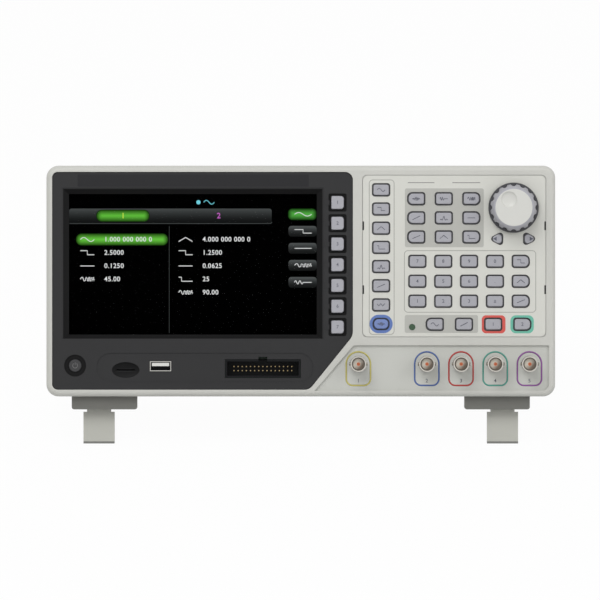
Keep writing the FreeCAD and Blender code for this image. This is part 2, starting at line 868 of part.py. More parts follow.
def build_screen_surround():
    """Dark moulding round the display, with the soft-key frames and the port strip."""
    body = piece("screen_surround")
    slab(body, "XZ", [surround_outline("0")], "panel_face", PANEL_BACK)
    collar = rect(
        "recess_left - collar_wall",
        "recess_right + collar_wall",
        "recess_low - collar_wall",
        "recess_high + collar_wall",
        "collar_wall",
    )
    slab(body, "XZ", [collar], PANEL_BACK, "collar_back")
    slope = body.newObject("PartDesign::SubtractiveLoft", "DisplaySlope")
    recess = rect("recess_left", "recess_right", "recess_low", "recess_high")
    front = draw(body, "XZ", "panel_face", [recess])
    view =rect("view_left", "view_right", "view_low", "view_high")
    slope.Profile = front
    slope.Sections = [draw(body, "XZ", "panel_face + slope_depth", [view])]
    slope.Ruled = True
    body.Tip = slope
    doc.recompute()
    cut(body, "XZ", [view], "panel_face + slope_depth", WINDOW_FACE)
    seat = rect(
        "view_left - window_margin - window_room",
        "view_right + window_margin + window_room",
        "view_low - window_margin - window_room",
        "view_high + window_margin + window_room",
    )
    cut(body, "XZ", [seat], WINDOW_FACE, "collar_back")
    frame = around("soft_x", "soft_top", "soft_frame", "soft_frame", "cap_corner")
    first = cut(body, "XZ", [frame], "panel_face", "panel_face + key_recess")
    wide, tall = "soft_width + 2 * key_room", "soft_height + 2 * key_room"
    ends = ("soft_left_round + key_room", "soft_right_round + key_room")
    hole = key_cap(wide, tall, *ends, "soft_x", "soft_top")
    second = cut(body, "XZ", [hole], "panel_face + key_recess", PANEL_BACK)
    repeat(body, [first, second], 1, "0", int(SIZES["soft_count"]), "soft_pitch")
    root = "soft_x - soft_frame / 2 - pointer_length / 2 + pointer_root"
    pointer = around(root, "soft_top", "pointer_length", "pointer_height")
    first = slab(body, "XZ", [pointer], "panel_face - pointer_rise", "panel_face + key_recess")
    repeat(body, [first], 1, "0", int(SIZES["soft_count"]), "soft_pitch")
    strip = rect("strip_left", "strip_right", "strip_low", "strip_high", "strip_round")
    cut(body, "XZ", [strip], "panel_face", "panel_face + strip_depth")
    face = "panel_face + strip_depth"
    sunk = "panel_face + key_recess"
    cut(body, "XZ", [("power_x", "power_z", "power_dish_radius")], "panel_face", sunk)
    cut(body, "XZ", [("power_x", "power_z", "power_radius + key_room")], sunk, PANEL_BACK)
    dish = body.newObject("PartDesign::SubtractiveEllipsoid", "CardDish")
    dish.setExpression("Radius1", bound("card_dish_depth"))
    dish.setExpression("Radius2", bound("card_dish_width / 2"))
    dish.setExpression("Radius3", bound("card_dish_height / 2"))
    support = [item for item in body.Origin.OriginFeatures if item.Role == "XZ_Plane"][0]
    dish.AttachmentSupport = (support, "")
    dish.MapMode = "FlatFace"
    dish.setExpression("AttachmentOffset.Base.x", bound("card_x"))
    dish.setExpression("AttachmentOffset.Base.y", bound("card_z"))
    dish.setExpression("AttachmentOffset.Base.z", bound(f"-({face})"))
    body.Tip = dish
    doc.recompute()
    slot = around("card_x", "card_z", "card_slot_width", "card_slot_height")
    cut(body, "XZ", [slot], face, PANEL_BACK)
    usb = around("usb_x", "usb_z", "usb_width + 2 * port_room", "usb_height + 2 * port_room")
    cut(body, "XZ", [usb], face, PANEL_BACK)
    header = rect("header_left", "header_right", "header_low", "header_high")
    cut(body, "XZ", [header], face, PANEL_BACK)
    middle = "(header_left + header_right) / 2"
    notch = rect(
        f"{middle} - header_notch_width / 2",
        f"{middle} + header_notch_width / 2",
        "header_high - 0.1",
        "header_high + header_notch_rise",
    )
    cut(body, "XZ", [notch], face, PANEL_BACK)


def build_keypad_panel():
    """Pale plate with a shallow frame and a clear hole for every key."""
    plate = prism(plate_outline("0"), "panel_face", PANEL_BACK)
    floor = "panel_face + key_recess"
    openings = []
    for _, x, z, width, height, left, right in plate_keys():
        wide, tall = f"{width} + cap_frame", f"{height} + cap_frame"
        frame = key_cap(wide, tall, f"{left} + cap_frame / 3", f"{right} + cap_frame / 3", x, z)
        hole = key_cap(f"{width} + 2 * key_room", f"{height} + 2 * key_room", left, right, x, z)
        openings += [prism(frame, "panel_face", floor), prism(hole, floor, PANEL_BACK)]
    for x, sense in ARROWS:
        openings.append(prism(arrow_outline(x, sense, "cap_frame / 2"), "panel_face", floor))
        openings.append(prism(arrow_outline(x, sense, "key_room"), floor, PANEL_BACK))
    bushing = "shaft_radius + shaft_room + bushing_wall + key_room"
    openings.append(rod("knob_x", "knob_z", bushing, "panel_face", PANEL_BACK))
    openings.append(rod("light_x", "light_z", "light_radius + shaft_room", "panel_face", PANEL_BACK))
    solid_piece("keypad_panel", plate.cut(openings))


def add_key(body, cap, flange, x, z, face=KEY_FRONT):
    """One key: a cap with a soft edge, a flange behind the panel, and a stem over its switch."""
    slab(body, "XZ", [cap], face, FLANGE_FRONT)
    soften(body, "key_edge", at_level("Y", face))
    slab(body, "XZ", [flange], FLANGE_FRONT, FLANGE_BACK)
    slab(body, "XZ", [(x, z, "stem_radius")], FLANGE_BACK, STEM_BACK)


def build_keys():
    """All push keys. Keys with a row name share one set."""
    bodies = {}
    for step, z in enumerate(soft_places(), start=1):
        body = piece(f"soft_key_{step}")
        ends = ("soft_left_round", "soft_right_round")
        cap = key_cap("soft_width", "soft_height", *ends, "soft_x", z)
        flange = around("soft_x", z, "soft_width + 2 * key_flange", "soft_height + 2 * key_flange")
        add_key(body, cap, flange, "soft_x", z)
    for name, x, z, width, height, left, right in plate_keys():
        if name not in bodies:
            bodies[name] = piece(name, several="row" in name)
        body = bodies[name]
        cap = key_cap(width, height, left, right, x, z)
        flange = around(x, z, f"{width} + 2 * key_flange", f"{height} + 2 * key_flange")
        slab(body, "XZ", [cap], KEY_FRONT, FLANGE_FRONT)
        slab(body, "XZ", [flange], FLANGE_FRONT, FLANGE_BACK)
        slab(body, "XZ", [(x, z, "stem_radius")], FLANGE_BACK, STEM_BACK)
    for name in bodies:
        soften(bodies[name], "key_edge", at_level("Y", KEY_FRONT))
    for name, x, sense in (("arrow_key_left", "arrow_left_x", -1), ("arrow_key_right", "arrow_right_x", 1)):
        body = piece(name)
        cap = arrow_outline(x, sense, "0")
        flange = around(x, "arrow_z", "arrow_width + 2 * key_flange", "arrow_height + 2 * key_flange")
        add_key(body, cap, flange, x, "arrow_z")
    body = piece("power_button")
    cap = ("power_x", "power_z", "power_radius")
    flange = ("power_x", "power_z", "power_radius + key_flange")
    slab(body, "XZ", [cap], "panel_face", FLANGE_FRONT)
    soften(body, "key_edge", at_level("Y", "panel_face"))
    slab(body, "XZ", [flange], FLANGE_FRONT, FLANGE_BACK)
    stem = "port_board_face - switch_height - key_travel - 0.1"
    slab(body, "XZ", [("power_x", "power_z", "stem_radius")], FLANGE_BACK, stem)


def build_boards():
    """Key board, port board and main board, each with its switches and parts as one soldered unit."""
    outline = rect("key_board_left", "key_board_right", "key_board_low", "key_board_high")
    board = prism(outline, "key_board_face", "key_board_face + board_thick")
    places = [("soft_x", z) for z in soft_places()]
    places += [(x, z) for _, x, z, *_ in plate_keys()]
    places += [(x, "arrow_z") for x, _ in ARROWS]
    switches = [
        prism(around(x, z, "switch_size", "switch_size"), SWITCH_FACE, "key_board_face")
        for x, z in places
    ]
    solid_piece("key_board", board.fuse(switches).removeSplitter())

    body = piece("port_board")
    outline = rect("port_board_left", "port_board_right", "main_top", "port_board_high")
    slab(body, "XZ", [outline], "port_board_face", "port_board_face + board_thick")
    switch = around("power_x", "power_z", "switch_size", "switch_size")
    slab(body, "XZ", [switch], "port_board_face - switch_height", "port_board_face")

    body = piece("main_board")
    outline = rect("main_left", "main_right", "main_front", "main_back")
    slab(body, "XY", [outline], "main_top - board_thick", "main_top")
    hole = ("shelf_post_right", "shelf_post_y", "post_radius + post_room")
    cut(body, "XY", [hole], "main_top - board_thick", "main_top")
    chips = [
        around(x, "chip_y", "chip_size", "chip_size", "chip_round")
        for x in ("chip_left", "chip_right")
    ]
    slab(body, "XY", chips, "main_top", "main_top + chip_height")
    shields = [
        around(x, "shield_y", "shield_width", "shield_length", "chip_round")
        for x in ("shield_left", "shield_right")
    ]
    slab(body, "XY", shields, "main_top", "main_top + shield_height")


def build_display():
    body = piece("screen_window")
    outline = rect(
        "view_left - window_margin",
        "view_right + window_margin",
        "view_low - window_margin",
        "view_high + window_margin",
    )
    slab(body, "XZ", [outline], WINDOW_FACE, f"{WINDOW_FACE} + window_thick")

    body = piece("lcd_module")
    x = "(view_left + view_right) / 2"
    z = "(view_low + view_high) / 2"
    frame = around(x, z, "display_wide", "display_tall")
    slab(body, "XZ", [frame], "collar_back", "collar_back + display_thick")
    wide = "view_right - view_left + 2 * window_margin"
    tall = "view_high - view_low + 2 * window_margin"
    glass = around(x, z, wide, tall)
    slab(body, "XZ", [glass], f"{WINDOW_FACE} + window_thick + glass_gap", "collar_back")


def build_knob():
    """Knob with its spindle, and the encoder that carries it."""
    back = "(panel_face - knob_gap)"
    front = f"({back} - knob_height)"
    body = piece("knob")
    profile = [
        ("0", front),
        ("knob_face_radius", front),
        ("knob_face_radius + 1.2", f"{front} + 1"),
        ("knob_radius - 0.9", f"{back} - 3"),
        ("knob_radius", f"{back} - 2.4"),
        ("knob_radius", back),
        ("0", back),
    ]
    spin(body, "Revolution", profile[::-1], "knob_x", "knob_z")
    reach = "knob_radius + flute_radius - flute_depth"
    flute = (f"knob_x + {reach}", "knob_z", "flute_radius")
    groove = cut(body, "XZ", [flute], f"{front} - 1", f"{back} - 2.4")
    ring = body.newObject("PartDesign::PolarPattern", "KnobFlutes")
    ring.Originals = [groove]
    ring.Axis = (draw(body, "XZ", "0", [], origin=("knob_x", "knob_z")), ["N_Axis"])
    ring.Angle = 360
    ring.setExpression("Occurrences", bound("knob_flutes"))
    body.Tip = ring
    doc.recompute()
    dimple = body.newObject("PartDesign::SubtractiveEllipsoid", "FingerDimple")
    dimple.setExpression("Radius1", bound("dimple_depth"))
    dimple.setExpression("Radius2", bound("dimple_radius"))
    dimple.setExpression("Radius3", bound("dimple_radius"))
    support = [item for item in body.Origin.OriginFeatures if item.Role == "XZ_Plane"][0]
    dimple.AttachmentSupport = (support, "")
    dimple.MapMode = "FlatFace"
    dimple.setExpression("AttachmentOffset.Base.x", bound("knob_x + dimple_x"))
    dimple.setExpression("AttachmentOffset.Base.y", bound("knob_z + dimple_z"))
    dimple.setExpression("AttachmentOffset.Base.z", bound(f"-{front}"))
    body.Tip = dimple
    doc.recompute()
    shaft_end = "key_board_face - 2 * encoder_floor"
    slab(body, "XZ", [("knob_x", "knob_z", "shaft_radius")], back, shaft_end)

    body = piece("knob_encoder")
    seat = "key_board_face - encoder_height"
    mouth = "panel_face + bushing_set"
    block = around("knob_x", "knob_z", "encoder_size", "encoder_size")
    slab(body, "XZ", [block], seat, "key_board_face")
    bushing = ("knob_x", "knob_z", "shaft_radius + shaft_room + bushing_wall")
    slab(body, "XZ", [bushing], mouth, seat)
    bore = ("knob_x", "knob_z", "shaft_radius + shaft_room")
    cut(body, "XZ", [bore], mouth, "key_board_face - encoder_floor")


def build_light():
    body = piece("status_light")
    slab(body, "XZ", [("light_x", "light_z", "light_radius")], "panel_face - 0.3", FLANGE_FRONT)
    slab(body, "XZ", [("light_x", "light_z", "light_radius + 0.5")], PANEL_BACK, "key_board_face")


def build_jacks():
    """Coaxial jacks: nickel shells, plastic sleeves and gilt contacts, five in front, two behind."""
    shells = piece("bnc_shells", several=True)
    sleeves = piece("bnc_insulators", several=True)
    contacts = piece("bnc_contacts", several=True)
    fronts = [(x, "field_depth", "front_wall", 1) for x in jack_places()]
    rears = [(x, "case_depth", BACK_WALL, -1) for x in rear_jack_places()]
    for x, face, seat, inward in fronts + rears:
        tip = f"({face} - {inward} * jack_reach)"
        block_end = f"({seat} + {inward} * jack_block_depth)"
        bore_end = f"({tip} + {inward} * jack_bore_depth)"
        lug = f"({tip} + {inward} * jack_lug_set)"

        def between(body, outlines, a, b, action=slab):
            low, high = (a, b) if inward > 0 else (b, a)
            action(body, "XZ", outlines, low, high)

        between(shells, [(x, "jack_z", "jack_radius")], tip, seat)
        left, right = f"{x} - jack_block / 2", f"{x} + jack_block / 2"
        block = rect(left, right, "main_top", "jack_z + jack_block / 2")
        between(shells, [block], seat, block_end)
        left, right = f"{x} - jack_lug_reach", f"{x} + jack_lug_reach"
        slab(shells, "YZ", [(lug, "jack_z", "jack_lug_radius")], left, right)
        between(shells, [(x, "jack_z", "jack_bore")], tip, bore_end, cut)
        between(shells, [(x, "jack_z", "contact_radius + jack_room")], bore_end, block_end, cut)
        face_in = f"({tip} + {inward} * sleeve_set)"
        between(sleeves, [(x, "jack_z", "sleeve_radius")], face_in, bore_end)
        between(sleeves, [(x, "jack_z", "contact_radius")], face_in, bore_end, cut)
        between(contacts, [(x, "jack_z", "contact_radius")], face_in, block_end)
        bore_floor = f"({face_in} + {inward} * contact_depth)"
        between(contacts, [(x, "jack_z", "contact_bore")], face_in, bore_floor, cut)


def build_ports():
    """Front USB socket, memory-card socket, box header and its pins, and the rear data port."""
    face = "(panel_face + strip_depth)"
    body = piece("usb_port")
    slab(body, "XZ", [around("usb_x", "usb_z", "usb_width", "usb_height")], face, "port_board_face")
    inner = around("usb_x", "usb_z", "usb_width - 2 * usb_wall", "usb_height - 2 * usb_wall")
    cut(body, "XZ", [inner], face, "port_board_face - 2")
    tongue_z = "usb_z + usb_height / 2 - usb_wall - usb_tongue_drop - usb_tongue_thick / 2"
    tongue = around("usb_x", tongue_z, "usb_tongue_width", "usb_tongue_thick")
    slab(body, "XZ", [tongue], f"{face} + 0.6", "port_board_face - 2")

    body = piece("card_slot")
    shell = around("card_x", "card_z", "card_slot_width + 2.4", "card_slot_height + 1.4")
    slab(body, "XZ", [shell], PANEL_BACK, "port_board_face")
    cavity = around("card_x", "card_z", "card_slot_width", "card_slot_height - 0.4")
    cut(body, "XZ", [cavity], PANEL_BACK, "port_board_face - 1.5")

    body = piece("header_shroud")
    outer = rect(
        "header_left + port_room",
        "header_right - port_room",
        "header_low + port_room",
        "header_high - port_room",
    )
    mouth = f"{face} + header_set"
    slab(body, "XZ", [outer], mouth, "port_board_face")
    inner = rect(
        "header_left + header_wall",
        "header_right - header_wall",
        "header_low + header_wall",
        "header_high - header_wall",
    )
    floor = "port_board_face - header_floor"
    cut(body, "XZ", [inner], mouth, floor)
    middle = "((header_left + header_right) / 2)"
    centre = "((header_low + header_high) / 2)"
    key = rect(
        f"{middle} - header_notch_width / 2",
        f"{middle} + header_notch_width / 2",
        f"{centre}",
        "header_high",
    )
    cut(body, "XZ", [key], mouth, floor)
    pins = piece("header_pins", several=True)
    columns = int(SIZES["pin_columns"])
    first_x = f"({middle} - ({columns} - 1) / 2 * pin_pitch)"
    pin = around(first_x, f"{centre} + pin_pitch / 2", "pin_width", "pin_width")
    first = cut(body, "XZ", [pin], floor, "port_board_face")
    repeat(body, [first], columns, "pin_pitch", 2, "pin_pitch")
    first = slab(pins, "XZ", [pin], f"{floor} - pin_reach + 1.5", "port_board_face")
    repeat(pins, [first], columns, "pin_pitch", 2, "pin_pitch")

    body = piece("device_port")
    height = "main_top + usbb_height / 2"
    outer = "case_depth + usbb_proud"
    floor = "case_depth - usbb_bore"
    shell = around("usbb_x", height, "usbb_width", "usbb_height")
    slab(body, "XZ", [shell], "case_depth - usbb_length", outer)
    wide, tall = "usbb_width - 2 * usbb_wall", "usbb_height - 2 * usbb_wall"
    cut(body, "XZ", [around("usbb_x", height, wide, tall, "usbb_wall")], floor, outer)
    tongue = around("usbb_x", height, "usbb_tongue_width", "usbb_tongue_thick")
    slab(body, "XZ", [tongue], floor, "case_depth - usbb_wall")


def build_inside():
    """Sheet-metal chassis, power supply, and the fan with its rotor."""
    body = piece("inner_chassis")
    plate = rect("-chassis_half", "chassis_half", "chassis_low", "case_height - case_wall - 0.5")
    slab(body, "XZ", [plate], "chassis_face", "chassis_face + chassis_gauge")
    shelf = rect("shelf_left", "shelf_right", "chassis_face", "shelf_back")
    slab(body, "XY", [shelf], "chassis_low", "chassis_low + chassis_gauge")

    body = piece("power_supply")
    floor = "(chassis_low + chassis_gauge)"
    base = rect("supply_left", "supply_right", "supply_front", "supply_back")
    slab(body, "XY", [base], floor, f"{floor} + 2")
    coils = [around(x, "58", 30, 32, "2") for x in ("supply_left + 32", "supply_left + 72")]
    slab(body, "XY", coils, f"{floor} + 2", f"{floor} + supply_height * 0.7")
    cans = [(x, y, "6") for x in ("supply_right - 12", "supply_right - 26") for y in ("48", "66")]
    slab(body, "XY", cans, f"{floor} + 2", f"{floor} + supply_height * 0.62")
    sink = rect("supply_left + 4", "supply_right - 4", "supply_front", "supply_front + 3")
    slab(body, "XY", [sink], f"{floor} + 2", f"{floor} + supply_height")

    body = piece("fan_frame")
    fan_back = BACK_WALL
    fan_front = f"({BACK_WALL} - fan_depth)"
    square = around("fan_x", "fan_z", "fan_size", "fan_size", "3")
    slab(body, "XZ", [square], fan_front, fan_back)
    cut(body, "XZ", [("fan_x", "fan_z", "fan_bore")], fan_front, fan_back)
    mount = f"({fan_front} + fan_mount_thick)"
    spokes = [
        around("fan_x", "fan_z", "fan_size - 1", "3.2"),
    ]
    slab(body, "XZ", spokes, fan_front, mount)
    slab(body, "XZ", [around("fan_x", "fan_z", "3.2", "fan_size - 1")], fan_front, mount)
    slab(body, "XZ", [("fan_x", "fan_z", "fan_hub")], fan_front, mount)
    cut(body, "XZ", [("fan_x", "fan_z", "fan_shaft + shaft_room")], fan_front, mount)

    body = piece("fan_rotor")
    hub_front = f"({mount} + 0.5)"
    hub_back = f"({hub_front} + fan_hub_depth)"
    slab(body, "XZ", [("fan_x", "fan_z", "fan_hub")], hub_front, hub_back)
    slab(body, "XZ", [("fan_x", "fan_z", "fan_shaft")], fan_front, hub_front)
    blade = body.newObject("PartDesign::AdditiveLoft", "FanBlade")
    tip = "(fan_bore - fan_tip_gap)"
    tip_plane = f"fan_x + sqrt({tip} * {tip} - blade_spread * blade_spread)"
    root_low = [
        (f"{hub_front} + 1", "-5", None),
        (f"{hub_front} + 2.2", "-5.6", None),
        (f"{hub_back} - 1", "4.4", None),
        (f"{hub_back} - 2.2", "5", None),
    ]
    tip_low = [
        (f"{hub_front} + 1", "-7", None),
        (f"{hub_front} + 2", "-7.8", None),
        (f"{hub_back} - 1", "6.2", None),
        (f"{hub_back} - 2", "7", None),
    ]
    blade.Profile = draw(body, "YZ", "fan_x + fan_hub * 0.8", [root_low], origin=("0", "fan_z"))
    blade.Sections = [draw(body, "YZ", tip_plane, [tip_low], origin=("0", "fan_z"))]
    blade.Ruled = True
    body.Tip = blade
    doc.recompute()
    ring = body.newObject("PartDesign::PolarPattern", "FanBlades")
    ring.Originals = [blade]
    ring.Axis = (draw(body, "XZ", "0", [], origin=("fan_x", "fan_z")), ["N_Axis"])
    ring.Angle = 360
    ring.setExpression("Occurrences", bound("fan_blades"))
    body.Tip = ring
    doc.recompute()


def build_rear_cover():
    """Rear moulding: shell, back wall with its openings, vents, handle tray, wells and posts."""
    body = piece("rear_cover")
    slab(body, "XZ", [case_outline("0")], "front_depth", "case_depth")
    soften(body, "back_edge", at_level("Y", "case_depth"))
    cut(body, "XZ", [case_outline("case_wall")], "front_depth", BACK_WALL)
    slab(body, "XZ", corner_blocks("screw_block"), "front_depth", f"{BACK_WALL} + case_wall / 2")
    tray = rect(
        "-tray_half - tray_side",
        "tray_half + tray_side",
        "tray_front - case_wall",
        "tray_back + case_wall",
    )
    top = "case_height - case_wall"
    slab(body, "XY", [tray], "case_height - tray_depth - case_wall", f"{top} + case_wall / 2")
    well = rect("-tray_half", "tray_half", "tray_front", "tray_back", "4")
    cut(body, "XY", [well], "case_height - tray_depth", "case_height")
    pivot_z = "(case_height - handle_sink - handle_thick / 2)"
    for side in (-1, 1):
        ends = ("tray_half", "tray_half + handle_pin_length + pivot_room")
        low, high = ends if side > 0 else (f"-{ends[0]} - handle_pin_length - pivot_room", "-tray_half")
        cut(body, "YZ", [("handle_pivot_y", pivot_z, "handle_pin + pivot_room")], low, high)
    floor = "front_depth + screw_floor"
    cut(body, "XZ", corner_circles("screw_head_radius + screw_room"), floor, "case_depth")
    cut(body, "XZ", corner_circles("screw_radius + screw_room"), "front_depth", floor)
    first_x = "fan_x - (grille_slots - 1) / 2 * grille_pitch"
    slot = around(first_x, "fan_z", "grille_slot", "grille_height", "grille_round")
    first = cut(body, "XZ", [slot], BACK_WALL, "case_depth")
    repeat(body, [first], int(SIZES["grille_slots"]), "grille_pitch", 1, "0")
    inlet = around("inlet_x", "inlet_z", "inlet_width - 2 * inlet_margin", "inlet_height - 2 * inlet_margin")
    cut(body, "XZ", [inlet], BACK_WALL, "case_depth")
    wide, high = "usbb_width + 2 * port_room", "usbb_height + 2 * port_room"
    data = around("usbb_x", "main_top + usbb_height / 2", wide, high)
    cut(body, "XZ", [data], BACK_WALL, "case_depth")
    holes = [(x, "jack_z", "jack_radius + jack_room") for x in rear_jack_places()]
    cut(body, "XZ", holes, BACK_WALL, "case_depth")
    height, middle = "vent_high - vent_low", "(vent_low + vent_high) / 2"
    for side in (-1, 1):
        wall = (f"{HALF_WIDE} - case_wall", HALF_WIDE)
        low, high = wall if side > 0 else (f"-{HALF_WIDE}", f"case_wall - {HALF_WIDE}")
        vent = around("vent_front", middle, "vent_width", height, "vent_round")
        first = cut(body, "YZ", [vent], low, high)
        repeat_back(body, [first], int(SIZES["side_vents"]), "vent_pitch")
    supports = [
        (x, y, "post_radius")
        for x in ("support_left", "support_middle", "support_right")
        for y in ("support_front", "support_back")
    ]
    slab(body, "XY", supports, "case_wall / 2", "main_top - board_thick")
    posts = [(x, "shelf_post_y", "post_radius") for x in ("shelf_post_left", "shelf_post_right")]
    slab(body, "XY", posts, "case_wall / 2", "chassis_low")


def build_mains():
    """Mains inlet module in the back wall, with its three blades and the rocker beside them."""
    body = piece("mains_inlet")
    flange = around("inlet_x", "inlet_z", "inlet_width", "inlet_height", "2")
    slab(body, "XZ", [flange], "case_depth", "case_depth + inlet_flange")
    wide = "inlet_width - 2 * inlet_margin - 2 * port_room"
    tall = "inlet_height - 2 * inlet_margin - 2 * port_room"
    box = around("inlet_x", "inlet_z", wide, tall)
    slab(body, "XZ", [box], "case_depth - inlet_depth", "case_depth")
    outer = "(case_depth + inlet_flange)"
    floor = f"({outer} - socket_depth)"
    left, right = "socket_x - socket_width / 2", "socket_x + socket_width / 2"
    low, high = "inlet_z - socket_height / 2", "inlet_z + socket_height / 2"
    socket = [
        (left, low, "1"),
        (right, low, "1"),
        (right, f"{high} - socket_corner", "1"),
        (f"{right} - socket_corner", high, "1"),
        (f"{left} + socket_corner", high, "1"),
        (left, f"{high} - socket_corner", "1"),
    ]
    cut(body, "XZ", [socket], floor, outer)
    blades = [
        around("socket_x", "inlet_z + blade_rise", "blade_width", "blade_height"),
        around("socket_x - blade_pitch", "inlet_z - blade_rise", "blade_width", "blade_height"),
        around("socket_x + blade_pitch", "inlet_z - blade_rise", "blade_width", "blade_height"),
    ]
    slab(body, "XZ", blades, floor, f"{outer} - 3")
    wide, tall = "rocker_width + 2 * rocker_room", "rocker_height + 2 * rocker_room"
    opening = around("rocker_x", "inlet_z", wide, tall)
    cut(body, "XZ", [opening], f"{outer} - rocker_body - 5", outer)
    pivot_y = f"({outer} - rocker_body / 2)"
    half = "(rocker_width / 2 + rocker_room)"
    bearing = [(pivot_y, "inlet_z", "rocker_pin + pivot_room")]
    cut(body, "YZ", bearing, f"rocker_x + {half}", f"rocker_x + {half} + 1.6")
    cut(body, "YZ", bearing, f"rocker_x - {half} - 1.6", f"rocker_x - {half}")

    body = piece("mains_rocker")
    turn = "(2 * rocker_angle)"
    front = "(rocker_body / 2 + rocker_proud)"
    below = [
        ("(-rocker_body / 2)", "rocker_waist"),
        ("(rocker_body / 2 - rocker_edge)", "(rocker_height / 2)"),
        (front, "(rocker_height / 2)"),
    ]
    profile = [(f"{pivot_y} + {out}", f"inlet_z - {down}", None) for out, down in below]
    profile.append((f"{pivot_y} + {front}", f"inlet_z - {front} * tan(rocker_angle)", None))
    for out, down in below[::-1]:
        across = f"{pivot_y} + {out} * cos({turn}) + {down} * sin({turn})"
        height = f"inlet_z + {down} * cos({turn}) - {out} * sin({turn})"
        profile.append((across, height, None))
    slab(body, "YZ", [profile], "rocker_x - rocker_width / 2", "rocker_x + rocker_width / 2")
    pins = [(pivot_y, "inlet_z", "rocker_pin")]
    slab(body, "YZ", pins, f"rocker_x - {half} - 1.4", f"rocker_x + {half} + 1.4")


def build_handle():
    """U-shaped handle that lies in its tray, with a pin at the end of each arm."""
    body = piece("carry_handle")
    top = "case_height - handle_sink"
    pivot_z = "(case_height - handle_sink - handle_thick / 2)"
    half = "(tray_half - handle_room)"
    back = "(handle_pivot_y + handle_thick / 2)"
    outline = [
        (f"-{half}", "handle_front", "6"),
        (half, "handle_front", "6"),
        (half, back, None),
        (f"{half} - handle_arm", back, None),
        (f"{half} - handle_arm", "handle_front + handle_grip", "3"),
        (f"handle_arm - {half}", "handle_front + handle_grip", "3"),
        (f"handle_arm - {half}", back, None),
        (f"-{half}", back, None),
    ]
    slab(body, "XY", [outline], f"{top} - handle_thick", top)
    end_face = at_level("Y", back)

    def end_edge(box):
        return end_face(box) and box.XLength > 1

    soften(body, "handle_round", end_edge)
    for side in (-1, 1):
        low, high = (half, f"{half} + handle_room + handle_pin_length")
        if side < 0:
            low, high = f"-{half} - handle_room - handle_pin_length", f"-{half}"
        slab(body, "YZ", [("handle_pivot_y", pivot_z, "handle_pin")], low, high)


def build_feet():
    """Front foot blocks with their forks, the two fold-out legs, and the rear feet."""
    body = piece("foot_blocks", several=True)
    back = "(leg_pivot_y + leg_shoulder + leg_pivot_z - leg_end_room)"
    for side in (-1, 1):
        middle = f"({side} * foot_x)"
        block = rect(f"{middle} - foot_width / 2", f"{middle} + foot_width / 2", "-foot_height", "0")
        rounded = [
            (x, z, "foot_corner" if z == "-foot_height" else None)
            for x, z, _ in block
        ]
        slab(body, "XZ", [rounded], "foot_front", back)
    for side in (-1, 1):
        leg = f"({side} * leg_x)"
        half = "(leg_tongue / 2 + leg_side_room)"
        face = "leg_pivot_y - leg_thick / 2 - leg_side_room"
        fork = rect(f"{leg} - {half}", f"{leg} + {half}", face, f"{back} + 1")
        cut(body, "XY", [fork], "-foot_height", "leg_pivot_z + leg_thick / 2 + leg_side_room")
        reach = "(leg_pin_length + pivot_room)"
        bore = [("leg_pivot_y", "leg_pivot_z", "leg_pin + pivot_room")]
        cut(body, "YZ", bore, f"{leg} - {half} - {reach}", f"{leg} + {half} + {reach}")

    lean = LEAN
    for side, name in ((-1, "tilt_leg_left"), (1, "tilt_leg_right")):
        body = piece(name)
        leg = f"({side} * leg_x)"
        front, rear = "leg_pivot_y - leg_thick / 2", "leg_pivot_y + leg_thick / 2"
        slant = f"(leg_thick * tan({lean}))"
        blade = [
            (front, "-leg_drop", None),
            (rear, f"{slant} - leg_drop", None),
            (rear, "-leg_shoulder", None),
            (front, "-leg_shoulder", None),
        ]
        slab(body, "YZ", [blade], f"{leg} - leg_width / 2", f"{leg} + leg_width / 2")
        tongue = rect(front, rear, "-leg_shoulder", "leg_pivot_z")
        slab(body, "YZ", [tongue], f"{leg} - leg_tongue / 2", f"{leg} + leg_tongue / 2")
        knuckle = [("leg_pivot_y", "leg_pivot_z", "leg_thick / 2")]
        slab(body, "YZ", knuckle, f"{leg} - leg_tongue / 2", f"{leg} + leg_tongue / 2")
        pin = f"(leg_tongue / 2 + leg_side_room + leg_pin_length)"
        slab(body, "YZ", [("leg_pivot_y", "leg_pivot_z", "leg_pin")], f"{leg} - {pin}", f"{leg} + {pin}")

    body = piece("rear_feet", several=True)
    for side in (-1, 1):
        profile = [
            ("rear_foot_front", "0", None),
            ("rear_foot_front", "-foot_height", "foot_corner"),
            ("rear_foot_back", "-foot_height", "rear_foot_round"),
            ("rear_foot_back", "0", None),
        ]
        middle = f"({side} * foot_x)"
        slab(body, "YZ", [profile], f"{middle} - rear_foot_width / 2", f"{middle} + rear_foot_width / 2")


def build_screws():
    body = piece("case_screws", several=True)
    seat = "(front_depth + screw_floor)"
    for circle in corner_circles("screw_head_radius"):
        slab(body, "XZ", [circle], seat, f"{seat} + screw_head_height")
        x, z, _ = circle
        shank = (x, z, "screw_radius - pivot_room")
        slab(body, "XZ", [shank], f"{seat} - screw_length + 1", seat)


build_front_case()
build_screen_surround()
build_keypad_panel()
build_display()
build_keys()
build_knob()
build_light()
build_boards()
build_jacks()
build_ports()
build_inside()
build_rear_cover()
build_mains()
build_handle()
build_feet()
build_screws()

# Lean every piece back, then move the whole so that the origin is under the middle of its box.
for body in pieces:
    body.setExpression("Placement", "Stand.Pose")
doc.recompute()
reach = FreeCAD.BoundBox()
for body in pieces:
    reach.add(body.Shape.optimalBoundingBox())
stand.Back = -(reach.YMin + reach.YMax) / 2
doc.recompute()

for item in doc.Objects:
    if "Invalid" in item.State or "Error" in item.State:
        raise ValueError(f"{item.Label} did not build: {item.State}")
for body in pieces:
    if body.Shape.isNull() or not body.Shape.isValid():
        raise ValueError(f"{body.Label} has no valid shape")

os.makedirs("parts", exist_ok=True)
for body in pieces:
    body.Shape.exportStep(f"parts/{body.Label}.step")
print(len(pieces), "pieces, lean", number(LEAN), "back", stand.Back.Value, "lift", stand.Lift.Value)
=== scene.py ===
import json
import math
import random

